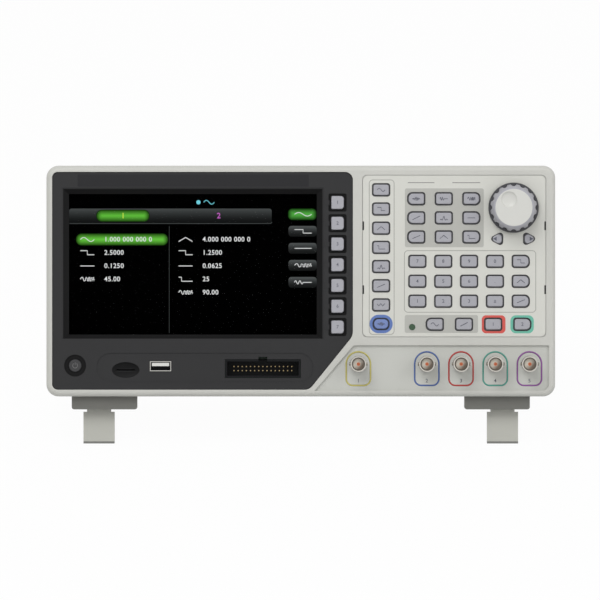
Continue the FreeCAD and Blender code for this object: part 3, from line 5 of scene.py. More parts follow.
import bpy
from mathutils import Matrix, Vector


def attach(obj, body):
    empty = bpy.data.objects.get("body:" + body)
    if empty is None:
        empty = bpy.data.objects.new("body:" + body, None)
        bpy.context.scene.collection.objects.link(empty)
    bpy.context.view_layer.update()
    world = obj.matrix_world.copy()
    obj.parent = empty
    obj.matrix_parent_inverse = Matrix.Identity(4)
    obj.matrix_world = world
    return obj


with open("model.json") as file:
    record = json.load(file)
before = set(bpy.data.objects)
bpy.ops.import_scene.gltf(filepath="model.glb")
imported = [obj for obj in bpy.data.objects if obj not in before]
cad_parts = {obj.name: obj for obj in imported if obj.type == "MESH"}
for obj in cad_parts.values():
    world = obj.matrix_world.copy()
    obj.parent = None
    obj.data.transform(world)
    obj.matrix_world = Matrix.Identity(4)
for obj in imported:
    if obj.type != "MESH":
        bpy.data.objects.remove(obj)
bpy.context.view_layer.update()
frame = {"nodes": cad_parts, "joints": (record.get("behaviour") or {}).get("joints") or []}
nodes = frame["nodes"]
joints = {joint["name"]: joint for joint in frame["joints"]}

# The instrument leans back on two tilt legs folded out under its front edge.
# Everything on its face is laid out in the casing's own frame: X to the right,
# Y from the front rim backwards and Z up from its underside, in metres.
mm = 0.001
leg_pivot = Vector((-124.35, 16.0, -4.2)) * mm
backward = Vector(joints["knob_turn"]["axis"]).normalized()
upward = Vector((0, -backward.z, backward.y))
turned = Matrix((Vector((1, 0, 0)), backward, upward)).transposed()
stance = Matrix.Translation(Vector(joints["leg_left_fold"]["pos_m"]) - turned @ leg_pivot) @ turned.to_4x4()


def srgb(red, green, blue):
    """A colour read as 0 to 255, as the linear colour that a shader takes."""
    return tuple(
        (v / 255 / 12.92 if v / 255 <= 0.04045 else ((v / 255 + 0.055) / 1.055) ** 2.4) for v in (red, green, blue)
    ) + (1.0,)


class Wire:
    """One output of a material's nodes. Arithmetic on wires adds the Math nodes."""

    def __init__(self, tree, socket):
        self.tree = tree
        self.socket = socket

    def add(self, kind, settings, sockets, output=0):
        """A node of that kind, its settings made before the values or wires of its sockets."""
        made = self.tree.nodes.new(kind)
        for name, value in settings.items():
            setattr(made, name, value)
        for name, value in sockets.items():
            if isinstance(value, Wire):
                self.tree.links.new(value.socket, made.inputs[name])
            else:
                made.inputs[name].default_value = value
        return Wire(self.tree, made.outputs[output])

    def math(self, operation, *values):
        return self.add("ShaderNodeMath", {"operation": operation}, dict(enumerate(values)))

    def __add__(self, other):
        return self.math("ADD", self, other)

    def __sub__(self, other):
        return self.math("SUBTRACT", self, other)

    def __rsub__(self, other):
        return self.math("SUBTRACT", other, self)

    def __mul__(self, other):
        return self.math("MULTIPLY", self, other)

    def __truediv__(self, other):
        return self.math("DIVIDE", self, other)

    def __lt__(self, other):
        return self.math("LESS_THAN", self, other)

    def __gt__(self, other):
        return self.math("GREATER_THAN", self, other)

    __radd__ = __add__
    __rmul__ = __mul__

    def clear(self):
        """Held between 0 and 1."""
        return self.math("MINIMUM", self.math("MAXIMUM", self, 0.0), 1.0)

    def mix(self, below, above):
        """The colour below where this is 0 and above where it is 1."""
        return self.add("ShaderNodeMix", {"data_type": "RGBA"}, {0: self, 6: below, 7: above}, output=2)

    def noise(self, size, detail=2.0):
        """Cloudy noise, 0 to 1, whose patches are about that size."""
        sockets = {"Vector": self, "Scale": 1 / size, "Detail": detail}
        return self.add("ShaderNodeTexNoise", {}, sockets)

    def parts(self):
        """The three numbers of a point."""
        split = self.add("ShaderNodeSeparateXYZ", {}, {"Vector": self})
        outputs = split.socket.node.outputs
        return [Wire(self.tree, outputs[axis]) for axis in "XYZ"]


def finish(name, paint, metallic=0.0, coat=0.0, **sockets):
    """A material: paint(place) gives colour, roughness and height from the casing's own coordinates."""
    material = bpy.data.materials.new(name)
    material.use_nodes = True
    tree = material.node_tree
    shader = tree.nodes["Principled BSDF"]
    shader.inputs["Metallic"].default_value = metallic
    shader.inputs["Coat Weight"].default_value = coat
    for socket, value in sockets.items():
        shader.inputs[socket.replace("_", " ")].default_value = value
    coordinates = tree.nodes.new("ShaderNodeTexCoord")
    back = stance.inverted()
    settings = {"vector_type": "POINT"}
    sockets = {"Location": back.translation, "Rotation": back.to_euler()}
    sockets["Vector"] = Wire(tree, coordinates.outputs["Object"])
    place = sockets["Vector"].add("ShaderNodeMapping", settings, sockets)
    colour, roughness, height = paint(place)
    for socket, value in (("Base Color", colour), ("Roughness", roughness)):
        if isinstance(value, Wire):
            tree.links.new(value.socket, shader.inputs[socket])
        else:
            shader.inputs[socket].default_value = value
    if height is not None:
        bump = place.add("ShaderNodeBump", {}, {"Height": height, "Strength": 1.0, "Distance": 1.0})
        tree.links.new(bump.socket, shader.inputs["Normal"])
    return material


def moulded(colour, deep, grain, depth, rough):
    """Paint of a textured moulding: two close shades, a spark-eroded grain and a drifting sheen."""

    def paint(place):
        drift = place.noise(40 * mm)
        speck = place.noise(grain, 3.0)
        shade = (drift * 0.6 + speck * 0.4).mix(deep, colour)
        roughness = speck * 0.12 + drift * 0.08 + (rough - 0.1)
        return shade, roughness, speck * depth

    return paint


def dress(material, *names):
    """Gives CAD nodes that material."""
    for name in names:
        mesh = nodes[name].data
        mesh.materials.clear()
        mesh.materials.append(material)


# The front half of the casing is one ABS moulding in pale grey, spark-eroded to a fine
# grain. It carries the bevelled rim, the screen and keypad openings and the output jacks.
field_left, field_right = 8.5 * mm, 152.7 * mm
field_top = 31.5 * mm


def paint_front(place):
    x, y, z = place.parts()
    base, roughness, height = moulded(srgb(203, 203, 197), srgb(195, 195, 189), 0.35 * mm, 0.02 * mm, 0.5)(place)
    in_field = (z < field_top) * (x > field_left) * (y > 0.6 * mm) * (y < 3.8 * mm)
    return in_field.mix(base, srgb(197, 198, 192)), roughness, height


case_finish = finish("case_plastic", paint_front)
dress(case_finish, "front_case")

# The rear cover is a deep box of the same plastic, drawn off over the boards and held by
# four corner screws. Its grille, side louvres and carry tray are moulded in one piece.
cover_finish = finish("cover_plastic", moulded(srgb(199, 199, 193), srgb(190, 190, 184), 0.5 * mm, 0.03 * mm, 0.55))
dress(cover_finish, "rear_cover")

# The screen surround is a separate dark grey moulding snapped into the front, with
# sloping inner walls round the window and slots for the seven keys beside it.
def box_distance(place, left, right, low, high, corner):
    """How far a point lies outside a rounded rectangle drawn on the face, negative inside it."""
    x, _, z = place.parts()
    across = (x - (left + right) / 2).math("ABSOLUTE", x - (left + right) / 2) - ((right - left) / 2 - corner)
    rise = (z - (low + high) / 2).math("ABSOLUTE", z - (low + high) / 2) - ((high - low) / 2 - corner)
    out_x = across.math("MAXIMUM", across, 0.0)
    out_z = rise.math("MAXIMUM", rise, 0.0)
    outside = out_x.math("SQRT", out_x * out_x + out_z * out_z)
    inside = across.math("MINIMUM", across.math("MAXIMUM", across, rise), 0.0)
    return outside + inside - corner


def paint_surround(place):
    y = place.parts()[1]
    base, roughness, height = moulded(srgb(54, 54, 55), srgb(47, 47, 48), 0.3 * mm, 0.015 * mm, 0.55)(place)
    name_place = box_distance(place, -137.3 * mm, 4.9 * mm, 129.0 * mm, 136.6 * mm, 0.5 * mm) < 0.0
    base = name_place.mix(base, srgb(42, 42, 44))
    # the sunk parts are painted near black, to stand for their shadow
    sunk = ((y - 0.7 * mm) / (0.3 * mm)).clear()
    return sunk.mix(base, srgb(9, 9, 10)), roughness, height


surround_finish = finish("surround_plastic", paint_surround, Specular_IOR_Level=0.15)
dress(surround_finish, "screen_surround")

# The keypad plate is a smooth matt moulding laid into the front. Its grey fields, thin
# frames and coloured rings are pad printed. The sunk frames round the keys are painted dark, as painted shade.
plate_colour = srgb(213, 213, 206)
plate_deep = srgb(207, 207, 200)
grey_print = srgb(180, 180, 174)
line_print = srgb(160, 160, 154)
gap_shade_colour = srgb(70, 70, 74)
line_width = 0.45 * mm
recess_start = 0.5 * mm


def paint_plate(place):
    x, y, z = place.parts()
    base, roughness, height = moulded(plate_colour, plate_deep, 0.25 * mm, 0.008 * mm, 0.42)(place)
    for left, right, low, high in ((64.0, 112.5, 91.8, 128.0), (63.9, 109.0, 39.1, 50.1)):
        field = box_distance(place, left * mm, right * mm, low * mm, high * mm, 1.2 * mm) < 0.0
        base = field.mix(base, grey_print)
    for left, right, low, high in ((42.1, 57.4, 38.2, 133.2), (63.7, 144.5, 51.8, 89.7)):
        edge = box_distance(place, left * mm, right * mm, low * mm, high * mm, 2.2 * mm)
        line = edge.math("ABSOLUTE", edge) < line_width / 2
        base = line.mix(base, line_print)
    for left, right in ((65.9, 82.2), (93.2, 110.3)):
        rule = (x > left * mm) * (x < right * mm)
        height_off = z - 131.5 * mm
        rule = rule * (height_off.math("ABSOLUTE", height_off) < 0.22 * mm)
        base = rule.mix(base, srgb(120, 120, 118))
    for middle, base_z, wide, tall, corner, colour in (
        (49.4, 44.6, 14.2, 11.4, 5.6, srgb(92, 118, 178)),
        (118.6, 44.4, 14.6, 11.1, 2.6, srgb(206, 84, 76)),
        (136.1, 44.4, 14.4, 11.1, 3.4, srgb(104, 182, 160)),
    ):
        edge = box_distance(
            place,
            (middle - wide / 2) * mm,
            (middle + wide / 2) * mm,
            (base_z - tall / 2) * mm,
            (base_z + tall / 2) * mm,
            corner * mm,
        )
        base = (edge < 0.0).mix(base, colour)
    # the sunk frames round the keys are painted dark grey, a painted shade of the recesses
    sunk = y > recess_start
    return sunk.mix(base, gap_shade_colour), roughness, height


plate_finish = finish("plate_plastic", paint_plate)
dress(plate_finish, "keypad_panel")


def clear_selection():
    """Nothing is selected and nothing is being edited, so an operator acts on its own piece alone."""
    if bpy.context.object and bpy.context.object.mode != "OBJECT":
        bpy.ops.object.mode_set(mode="OBJECT")
    bpy.ops.object.select_all(action="DESELECT")


def seat(name, made, material, body):
    """Joins the shapes made, turns them with the casing and hands them over as one piece on a body."""
    clear_selection()
    for shape in made:
        shape.select_set(True)
    bpy.context.view_layer.objects.active = made[0]
    if len(made) > 1:
        bpy.ops.object.join()
    whole = bpy.context.object
    bpy.ops.object.transform_apply(location=True, rotation=True, scale=True)
    whole.data.transform(stance)
    whole.name = name
    whole.data.name = name
    whole.data.materials.clear()
    whole.data.materials.append(material)
    clear_selection()
    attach(whole, body)
    return whole


def rounded_plate(x, z, wide, tall, corner, front, back):
    """A flat plate with round corners, from front to back in Y, centred at that X and Z."""
    clear_selection()
    bpy.ops.mesh.primitive_plane_add(size=1, location=(x, back, z), rotation=(math.pi / 2, 0, 0))
    made = bpy.context.object
    made.scale = (wide, tall, 1)
    bpy.ops.object.transform_apply(location=True, rotation=True, scale=True)
    bpy.ops.object.mode_set(mode="EDIT")
    bpy.ops.mesh.select_all(action="SELECT")
    bpy.ops.mesh.bevel(offset=corner, segments=6, affect="VERTICES")
    bpy.ops.mesh.select_all(action="SELECT")
    bpy.ops.mesh.extrude_region_move(TRANSFORM_OT_translate={"value": (0, front - back, 0)})
    bpy.ops.mesh.select_all(action="SELECT")
    bpy.ops.mesh.normals_make_consistent(inside=False)
    bpy.ops.object.mode_set(mode="OBJECT")
    return made


def flat_finish(colour, rough=0.5):
    """Paint of an ink or an enamel: one colour with a faint unevenness."""

    def paint(place):
        patch = place.noise(2 * mm)
        darker = tuple(0.9 * v for v in colour[:3]) + (1.0,)
        return patch.mix(darker, colour), patch * 0.1 + (rough - 0.05), None

    return paint


# Four snap slots at the plate's long edges let a tool release it. They are punched
# through the rim, and each is drawn as a near-black plate, a painted shadow of the narrow gap.
slot_wide, slot_tall = 1.6 * mm, 5.4 * mm
shadow_finish = finish("slot_shadow", flat_finish(srgb(14, 14, 15), 0.7))
snap_slots = [
    rounded_plate(x * mm, z * mm, slot_wide, slot_tall, 0.3 * mm, 0.12 * mm, 0.4 * mm)
    for x in (38.1, 150.6)
    for z in (105.0, 65.7)
]
seat("snap_slots", snap_slots, shadow_finish, "case")

# The window is a clear acrylic sheet with a black margin, glued behind the surround.
# The display module stands behind it, a glass panel in a stamped tinplate frame.
def paint_window(place):
    return srgb(4, 4, 5), place.noise(30 * mm) * 0.05 + 0.2, None


window_finish = finish("window_glass", paint_window, Alpha=0.06, Specular_IOR_Level=0.02)
dress(window_finish, "screen_window")
view_left, view_right = -142.6 * mm, 9.8 * mm
view_low, view_high = 38.1 * mm, 124.5 * mm
display_face = 5.3 * mm


def paint_display(place):
    x, y, z = place.parts()
    shown = (y < display_face + 0.3 * mm) * (x > view_left - 4 * mm) * (x < view_right + 4 * mm)
    grain = place.noise(1.5 * mm)
    tin = grain.mix(srgb(150, 150, 152), srgb(172, 172, 174))
    return shown.mix(tin, srgb(1, 1, 1)), grain * 0.05 + 0.6, None


dress(finish("display_module", paint_display, Specular_IOR_Level=0.0), "lcd_module")


# What the screen shows is a plain layout of rows of numbers and wave signs, in place of
# any maker's text: lit pixels in white, green and magenta just in front of the black panel.
pixel_front, pixel_back = display_face - 0.2 * mm, display_face - 0.05 * mm


def lit(name, shade):
    """A material of the screen that gives off the light shade(place) names."""
    material = bpy.data.materials.new(name)
    material.use_nodes = True
    shader = material.node_tree.nodes["Principled BSDF"]
    shader.inputs["Base Color"].default_value = srgb(0, 0, 0)
    shader.inputs["Roughness"].default_value = 0.6
    shader.inputs["Specular IOR Level"].default_value = 0.0
    shader.inputs["Emission Strength"].default_value = 1.0
    tree = material.node_tree
    coordinates = Wire(tree, tree.nodes.new("ShaderNodeTexCoord").outputs["Object"])
    back = stance.inverted()
    sockets = {"Vector": coordinates, "Location": back.translation, "Rotation": back.to_euler()}
    place = coordinates.add("ShaderNodeMapping", {}, sockets)
    tree.links.new(shade(place).socket, shader.inputs["Emission Color"])
    return material


def even(colour):
    """Light of one colour, a little uneven from pixel to pixel."""
    dimmer = tuple(0.9 * v for v in colour[:3]) + (1.0,)
    return lambda place: place.noise(0.4 * mm).mix(dimmer, colour)


def written(text, x, z, tall, front=pixel_front, left=False):
    """Plain figures on the face, that tall, as a thin mesh centred at X and Z or starting there."""
    clear_selection()
    bpy.ops.object.text_add(location=(x, front, z), rotation=(math.pi / 2, 0, 0))
    made = bpy.context.object
    made.data.body = text
    made.data.size = tall / 0.7
    made.data.offset = tall * 0.015
    made.data.space_character = 1.08
    made.data.extrude = 0.02 * mm
    made.data.align_x = "LEFT" if left else "CENTER"
    made.data.align_y = "CENTER"
    made.data.resolution_u = 3
    bpy.ops.object.convert(target="MESH")
    return bpy.context.object


def stroke(points, width, front=pixel_front):
    """A pen line through points (X, Z) on the face, as a thin flat mesh."""
    curve = bpy.data.curves.new("stroke", "CURVE")
    curve.dimensions = "3D"
    curve.bevel_depth = width / 2
    curve.bevel_resolution = 0
    curve.use_fill_caps = True
    spline = curve.splines.new("POLY")
    spline.points.add(len(points) - 1)
    for point, (x, z) in zip(spline.points, points):
        point.co = (x, 0, z, 1)
    made = bpy.data.objects.new("stroke", curve)
    bpy.context.collection.objects.link(made)
    clear_selection()
    made.select_set(True)
    bpy.context.view_layer.objects.active = made
    bpy.ops.object.convert(target="MESH")
    made = bpy.context.object
    made.scale = (1, 0.08, 1)
    made.location = (0, front, 0)
    bpy.ops.object.transform_apply(location=True, rotation=True, scale=True)
    return made


def sine(u):
    return math.sin(2 * math.pi * u)


def square(u):
    return 1 if u % 1 < 0.5 else -1


def ramp(u):
    return 1 - 2 * abs((2 * u) % 2 - 1) if u % 1 else -1


def sawtooth(u):
    return 2 * (u % 1) - 1


def pulse(u):
    return 1 if u % 1 < 0.2 else -1


def sinc(u):
    turn = (u - 0.5) * 7 * math.pi
    return 2 * (math.sin(turn) / turn if abs(turn) > 1e-6 else 1) - 1


def burst(u):
    return sine(4 * u) if u < 0.5 else 0


def swept(u):
    return sine(1.5 * u + 3.5 * u * u)


def swelling(u):
    return sine(6 * u) * math.sin(math.pi * u)


def steps(u):
    return math.floor(u * 4.999) / 2 - 1


def level(u):
    return 0.0


def rough_line(u):
    return random.Random(round(u * 1000)).uniform(-1, 1)


def wave_sign(shape, x, z, wide, tall, width, front=pixel_front):
    """The sign of a wave, drawn as one stroke of that shape over the width."""
    count = 12 if shape is rough_line else 24
    points = []
    last = None
    for step in range(count + 1):
        u = min(step / count, 0.9999)
        height = shape(u)
        if last is not None and abs(height - last) > 0.9:
            points.append((x - wide / 2 + u * wide, z + last * tall / 2))
        points.append((x - wide / 2 + u * wide, z + height * tall / 2))
        last = height
    return stroke(points, width, front)


white_lit = lit("screen_white", even(srgb(236, 239, 239)))
green_lit = lit("screen_green", even(srgb(205, 238, 80)))
magenta_lit = lit("screen_magenta", even(srgb(205, 105, 205)))
cyan_lit = lit("screen_cyan", even(srgb(120, 220, 235)))


def patch(name, left, right, low, high, corner, shade, back):
    """A patch of the screen whose light follows shade(place), its back at that depth."""
    middle_x, middle_z = (left + right) / 2, (low + high) / 2
    made = rounded_plate(middle_x, middle_z, right - left, high - low, corner, back - 0.02 * mm, back)
    seat(name, [made], lit(name, shade), "case")


def glow(name, left, right, low, high, corner, colour, fade):
    """A patch that is brightest in its middle and fades towards its edge."""

    def shade(place):
        depth = (box_distance(place, left, right, low, high, corner) / (-fade)).clear()
        return depth.mix(srgb(0, 0, 0), colour)

    patch(name, left, right, low, high, corner, shade, pixel_back)


def bar(name, left, right, low, high, corner, colour):
    """A dim grey bar that is lightest along its upper edge."""

    def shade(place):
        rise = ((place.parts()[2] - low) / (high - low)).clear()
        return (rise * rise * 0.9 + 0.1).mix(srgb(0, 0, 0), colour)

    patch(name, left, right, low, high, corner, shade, pixel_back + 0.03 * mm)


bar("tab_bar", -142.6 * mm, -17.9 * mm, 106.2 * mm, 115.6 * mm, 1.5 * mm, srgb(72, 76, 76))
for row in range(1, 5):
    middle = (112.1 - row * 10.47) * mm
    bar(f"soft_bar_{row}", -7.6 * mm, 9.8 * mm, middle - 3.3 * mm, middle + 3.3 * mm, 1.8 * mm, srgb(84, 88, 88))
glow("tab_glow", -126.0 * mm, -93.0 * mm, 107.4 * mm, 115.0 * mm, 3.7 * mm, srgb(100, 196, 64), 3.8 * mm)
glow("row_glow", -138.5 * mm, -81.6 * mm, 92.8 * mm, 100.4 * mm, 3.6 * mm, srgb(104, 200, 66), 3.6 * mm)
glow("soft_glow", -8.0 * mm, 9.8 * mm, 108.4 * mm, 115.8 * mm, 2.8 * mm, srgb(84, 176, 70), 3.4 * mm)
figure_tall = 2.9 * mm
thin_line = 0.45 * mm
sign_wide, sign_tall = 8.6 * mm, 2.5 * mm
rows_high = 96.6 * mm
row_pitch = 8.15 * mm
left_signs, left_values = -131.4 * mm, -121.0 * mm
right_signs, right_values = -70.9 * mm, -60.5 * mm
shown_white = []
left_rows = ((sine, "1.000 000 000 0"), (square, "2.5000"), (level, "0.1250"), (swept, "45.00"))
for row, (sign, figures) in enumerate(left_rows):
    z = rows_high - row * row_pitch
    shown_white.append(wave_sign(sign, left_signs, z, sign_wide, sign_tall, thin_line))
    shown_white.append(written(figures, left_values, z, figure_tall, left=True))
right_rows = ((ramp, "4.000 000 000 0"), (square, "1.2500"), (level, "0.0625"), (pulse, "25"), (swept, "90.00"))
for row, (sign, figures) in enumerate(right_rows):
    z = rows_high - row * row_pitch
    shown_white.append(wave_sign(sign, right_signs, z, sign_wide, sign_tall, thin_line))
    shown_white.append(written(figures, right_values, z, figure_tall, left=True))
soft_middle, soft_high, soft_step = 1.4 * mm, 112.1 * mm, 10.47 * mm
for row, sign in enumerate((sine, square, level, swept, burst)):
    z = soft_high - row * soft_step
    shown_white.append(wave_sign(sign, soft_middle, z, 10.5 * mm, 2.2 * mm, thin_line))
seat("screen_figures", shown_white, white_lit, "case")
tab_high = 111.1 * mm
seat("screen_tab_1", [written("1", -109.4 * mm, tab_high, 3.4 * mm)], green_lit, "case")
seat("screen_tab_2", [written("2", -50.5 * mm, tab_high, 3.4 * mm)], magenta_lit, "case")
ready_mark = [
    rounded_plate(-63.0 * mm, 119.5 * mm, 2.6 * mm, 2.6 * mm, 1.25 * mm, pixel_front, pixel_back),
    wave_sign(sine, -56.5 * mm, 119.5 * mm, 6.5 * mm, 2.4 * mm, 0.4 * mm),
]
seat("screen_ready_mark", ready_mark, cyan_lit, "case")


dividers = [
    stroke([(-142.4 * mm, 106.4 * mm), (-18.6 * mm, 106.4 * mm), (-17.6 * mm, 107.4 * mm)], 0.4 * mm),
    stroke([(-81.0 * mm, 39.0 * mm), (-81.0 * mm, 105.0 * mm)], 0.25 * mm),
]
seat("screen_dividers", dividers, lit("screen_grey", even(srgb(70, 74, 74))), "case")


def rounded_line(corners, parts=8):
    """Points along a closed line through corners (X, Z, radius), each of them rounded."""
    points = []
    for index, (x, z, radius) in enumerate(corners):
        here = Vector((x, z))
        before = (Vector(corners[index - 1][:2]) - here).normalized()
        after = (Vector(corners[(index + 1) % len(corners)][:2]) - here).normalized()
        half = before.angle(after) / 2
        centre = here + (before + after).normalized() * (radius / math.sin(half))
        start = here + before * (radius / math.tan(half)) - centre
        end = here + after * (radius / math.tan(half)) - centre
        arms = [start.lerp(end, part / parts).normalized() * radius for part in range(parts + 1)]
        points += [tuple(centre + arm) for arm in arms]
    return points + points[:1]


# A near-black line is painted all round the surround, a painted shadow of the gap where it meets the front.
shadow_gap_corners = ((-152.8, 4.3, 3.6), (5.2, 4.3, 6.0), (31.9, 37.4, 7.8), (31.9, 138.0, 5.0), (-152.8, 138.0, 3.6))
shadow_gap_points = rounded_line([tuple(v * mm for v in corner) for corner in shadow_gap_corners])
shadow_gap_line = stroke(shadow_gap_points, 0.7 * mm, 0.12 * mm)
seat("surround_shadow_gap", [shadow_gap_line], shadow_finish, "case")

# The keys are separate caps of pale grey rubber. Those of one row in the menu and number
# blocks share a node and press together here, though each real key presses by itself.
# The legends are pad printed: figures, a point, signs of waves and arrows.
cap_face = -1.2 * mm
ink_front = cap_face - 0.01 * mm
arrow_radius = 1.5 * mm
arrow_left_x, arrow_right_x = 119.7 * mm, 141.5 * mm
legend_ink = finish("legend_ink", flat_finish(srgb(84, 86, 98), 0.5))
key_finish = finish("key_rubber", moulded(srgb(168, 168, 174), srgb(161, 161, 168), 0.3 * mm, 0.01 * mm, 0.5))
mode_finish = finish("mode_key_rubber", moulded(srgb(120, 138, 188), srgb(110, 130, 182), 0.3 * mm, 0.01 * mm, 0.5))
legends = {f"soft_key_{n + 1}": [(str(n + 1), 22.6, 119.3 - n * 12.76)] for n in range(7)}
wave_signs = (sine, square, ramp, pulse, sinc, sawtooth, rough_line)
for step, sign in enumerate(wave_signs):
    legends[f"wave_key_{step + 1}"] = [(sign, 49.4, 127.1 - step * 11.8)]
legends["mode_key"] = [(swelling, 49.4, 44.6)]
menu_signs = ((swelling, burst, swept), (steps, sinc, level), (sawtooth, ramp, pulse))
for row, signs in enumerate(menu_signs):
    legends[f"menu_row_{row + 1}"] = [
        (sign, 71.0 + column * 16.95, 121.6 - row * 11.75) for column, sign in enumerate(signs)
    ]
figure_rows = (("7", "8", "9", "0", square), ("4", "5", "6", ".", ramp), ("1", "2", "3", "±", sawtooth))
for row, signs in enumerate(figure_rows):
    legends[f"number_row_{row + 1}"] = [
        (sign, 71.7 + column * 15.9, 83.1 - row * 12.25) for column, sign in enumerate(signs)
    ]
for column, sign in enumerate((sine, steps, "1", "2")):
    legends[f"output_key_{column + 1}"] = [(sign, 82.4 + column * 17.95, 44.4)]
for key, signs in legends.items():
    dress(mode_finish if key == "mode_key" else key_finish, key)
    marks = []
    for sign, x, z in signs:
        if isinstance(sign, str):
            marks.append(written(sign, x * mm, z * mm, 2.1 * mm, ink_front))
        else:
            marks.append(wave_sign(sign, x * mm, z * mm, 4.8 * mm, 2.0 * mm, 0.38 * mm, ink_front))
    seat(f"{key}_legend", marks, legend_ink, key)
arrow_z = 97.0 * mm
for side, x, sense in (("left", arrow_left_x, -1), ("right", arrow_right_x, 1)):
    key = f"arrow_key_{side}"
    dress(key_finish, key)
    clear_selection()
    bpy.ops.mesh.primitive_cylinder_add(vertices=3, radius=arrow_radius, depth=0.04 * mm)
    mark = bpy.context.object
    mark.rotation_euler = (math.pi / 2, math.pi / 2 * sense, 0)
    mark.location = (x, ink_front, arrow_z)
    bpy.ops.object.transform_apply(location=True, rotation=True, scale=True)
    seat(f"{key}_legend", [mark], legend_ink, key)

# The power button is a round rubber cap at the strip's left end, with the usual sign of
# a broken ring and a stroke printed on it.
power_x, power_z = -138.8 * mm, 19.0 * mm
power_finish = finish("power_rubber", moulded(srgb(46, 46, 48), srgb(40, 40, 42), 0.3 * mm, 0.01 * mm, 0.5))
dress(power_finish, "power_button")
turns = [math.radians(125 + 290 * part / 24) for part in range(25)]
ring = [(power_x + 1.5 * mm * math.cos(turn), power_z + 1.5 * mm * math.sin(turn)) for turn in turns]
power_front = 0.19 * mm
power_sign = [
    stroke(ring, 0.4 * mm, power_front),
    stroke([(power_x, power_z + 0.3 * mm), (power_x, power_z + 1.9 * mm)], 0.4 * mm, power_front),
]
sign_ink = finish("sign_ink", flat_finish(srgb(116, 116, 116), 0.5))
seat("power_sign", power_sign, sign_ink, "power_button")

# The knob is two mouldings: a satin disc with a finger dimple, pressed into a fluted
# blue-grey skirt that the fingers turn.
knob_axis = Vector((130.8, 0, 116.1)) * mm
skirt_radius = 11.4 * mm
rim_radius = 14.3 * mm
rim_front = -2.8 * mm


def paint_knob(place):
    x, y, z = place.parts()
    off_x, off_z = x - knob_axis.x, z - knob_axis.z
    radius = off_x.math("SQRT", off_x * off_x + off_z * off_z)
    base, roughness, height = moulded(srgb(214, 214, 209), srgb(206, 206, 201), 0.3 * mm, 0.006 * mm, 0.38)(place)
    base = (radius > skirt_radius).mix(base, srgb(168, 168, 175))
    # the outer rim and all behind its front edge are painted dark grey, a painted shade round the knob's base
    rim = radius.math("MAXIMUM", radius > rim_radius, y > rim_front)
    return rim.mix(base, srgb(62, 62, 66)), roughness, height


dress(finish("knob_plastic", paint_knob), "knob")

# Metal parts: nickel-plated jack shells and port shells, gilt contacts, tinplate and
# zinc-plated sheet, with the fine streaks of rolling and plating.


def plated(light, dark, streak, rough):
    """Paint of a plated metal: close shades in streaks along X."""

    def paint(place):
        stretched = place.add("ShaderNodeMapping", {}, {"Vector": place, "Scale": (0.15, 1.0, 1.0)})
        line = stretched.noise(streak, 3.0)
        return line.mix(dark, light), line * 0.08 + rough, line * (0.0004 * mm)

    return paint


def paint_port(place):
    """Nickel, painted dark inside the front port's shell to stand for its shadow."""
    y = place.parts()[1]
    shade, roughness, height = plated(srgb(214, 213, 208), srgb(190, 188, 182), 2 * mm, 0.24)(place)
    inside = box_distance(place, -92.4 * mm, -80.2 * mm, 16.0 * mm, 21.2 * mm, 0.2 * mm) < 0.0
    return (inside * (y > 0.7 * mm)).mix(shade, srgb(26, 26, 27)), roughness, height


def paint_shell(place):
    """Nickel, bright on the front jacks' turned lips and darker on all that lies behind them, a painted shade."""
    y = place.parts()[1]
    shade, roughness, height = plated(srgb(216, 212, 204), srgb(186, 182, 174), 1.6 * mm, 0.16)(place)
    shade_behind = ((y + 10.9 * mm) / (0.5 * mm)).clear()
    return shade_behind.mix(shade, srgb(118, 112, 103)), roughness, height


nickel = finish("nickel", paint_shell, metallic=1.0)
gilt = finish("gilt", plated(srgb(206, 128, 96), srgb(176, 104, 76), 0.5 * mm, 0.2), metallic=1.0)
dull_gilt = finish("dull_gilt", plated(srgb(176, 156, 118), srgb(140, 122, 88), 0.5 * mm, 0.4), metallic=1.0)
sheet_steel = finish("sheet_steel", plated(srgb(190, 192, 194), srgb(166, 168, 172), 2 * mm, 0.32), metallic=1.0)
dress(nickel, "bnc_shells")
dress(finish("port_nickel", paint_port, metallic=1.0), "usb_port", "device_port")
dress(gilt, "bnc_contacts")
dress(dull_gilt, "header_pins")
dress(sheet_steel, "inner_chassis", "power_supply", "case_screws", "knob_encoder")

# Insulating parts and the mains inlet are moulded nylon, and the boards are glass fibre
# under a green solder mask.


def paint_sleeve(place):
    """White nylon. The shading from pale to brown across each sleeve is painted, after the photograph."""
    x, _, z = place.parts()
    column = (x - 35.4 * mm) / (21.05 * mm) + 0.5
    off_x = (column.math("FRACT", column) - 0.5) * (21.05 * mm)
    shaded = ((off_x - (z - 20.0 * mm)) / (5.5 * mm) + 0.4).clear()
    nylon = moulded(srgb(238, 230, 216), srgb(230, 222, 206), 0.4 * mm, 0.01 * mm, 0.45)
    base, roughness, height = nylon(place)
    return (shaded * 0.9).mix(base, srgb(88, 66, 46)), roughness, height


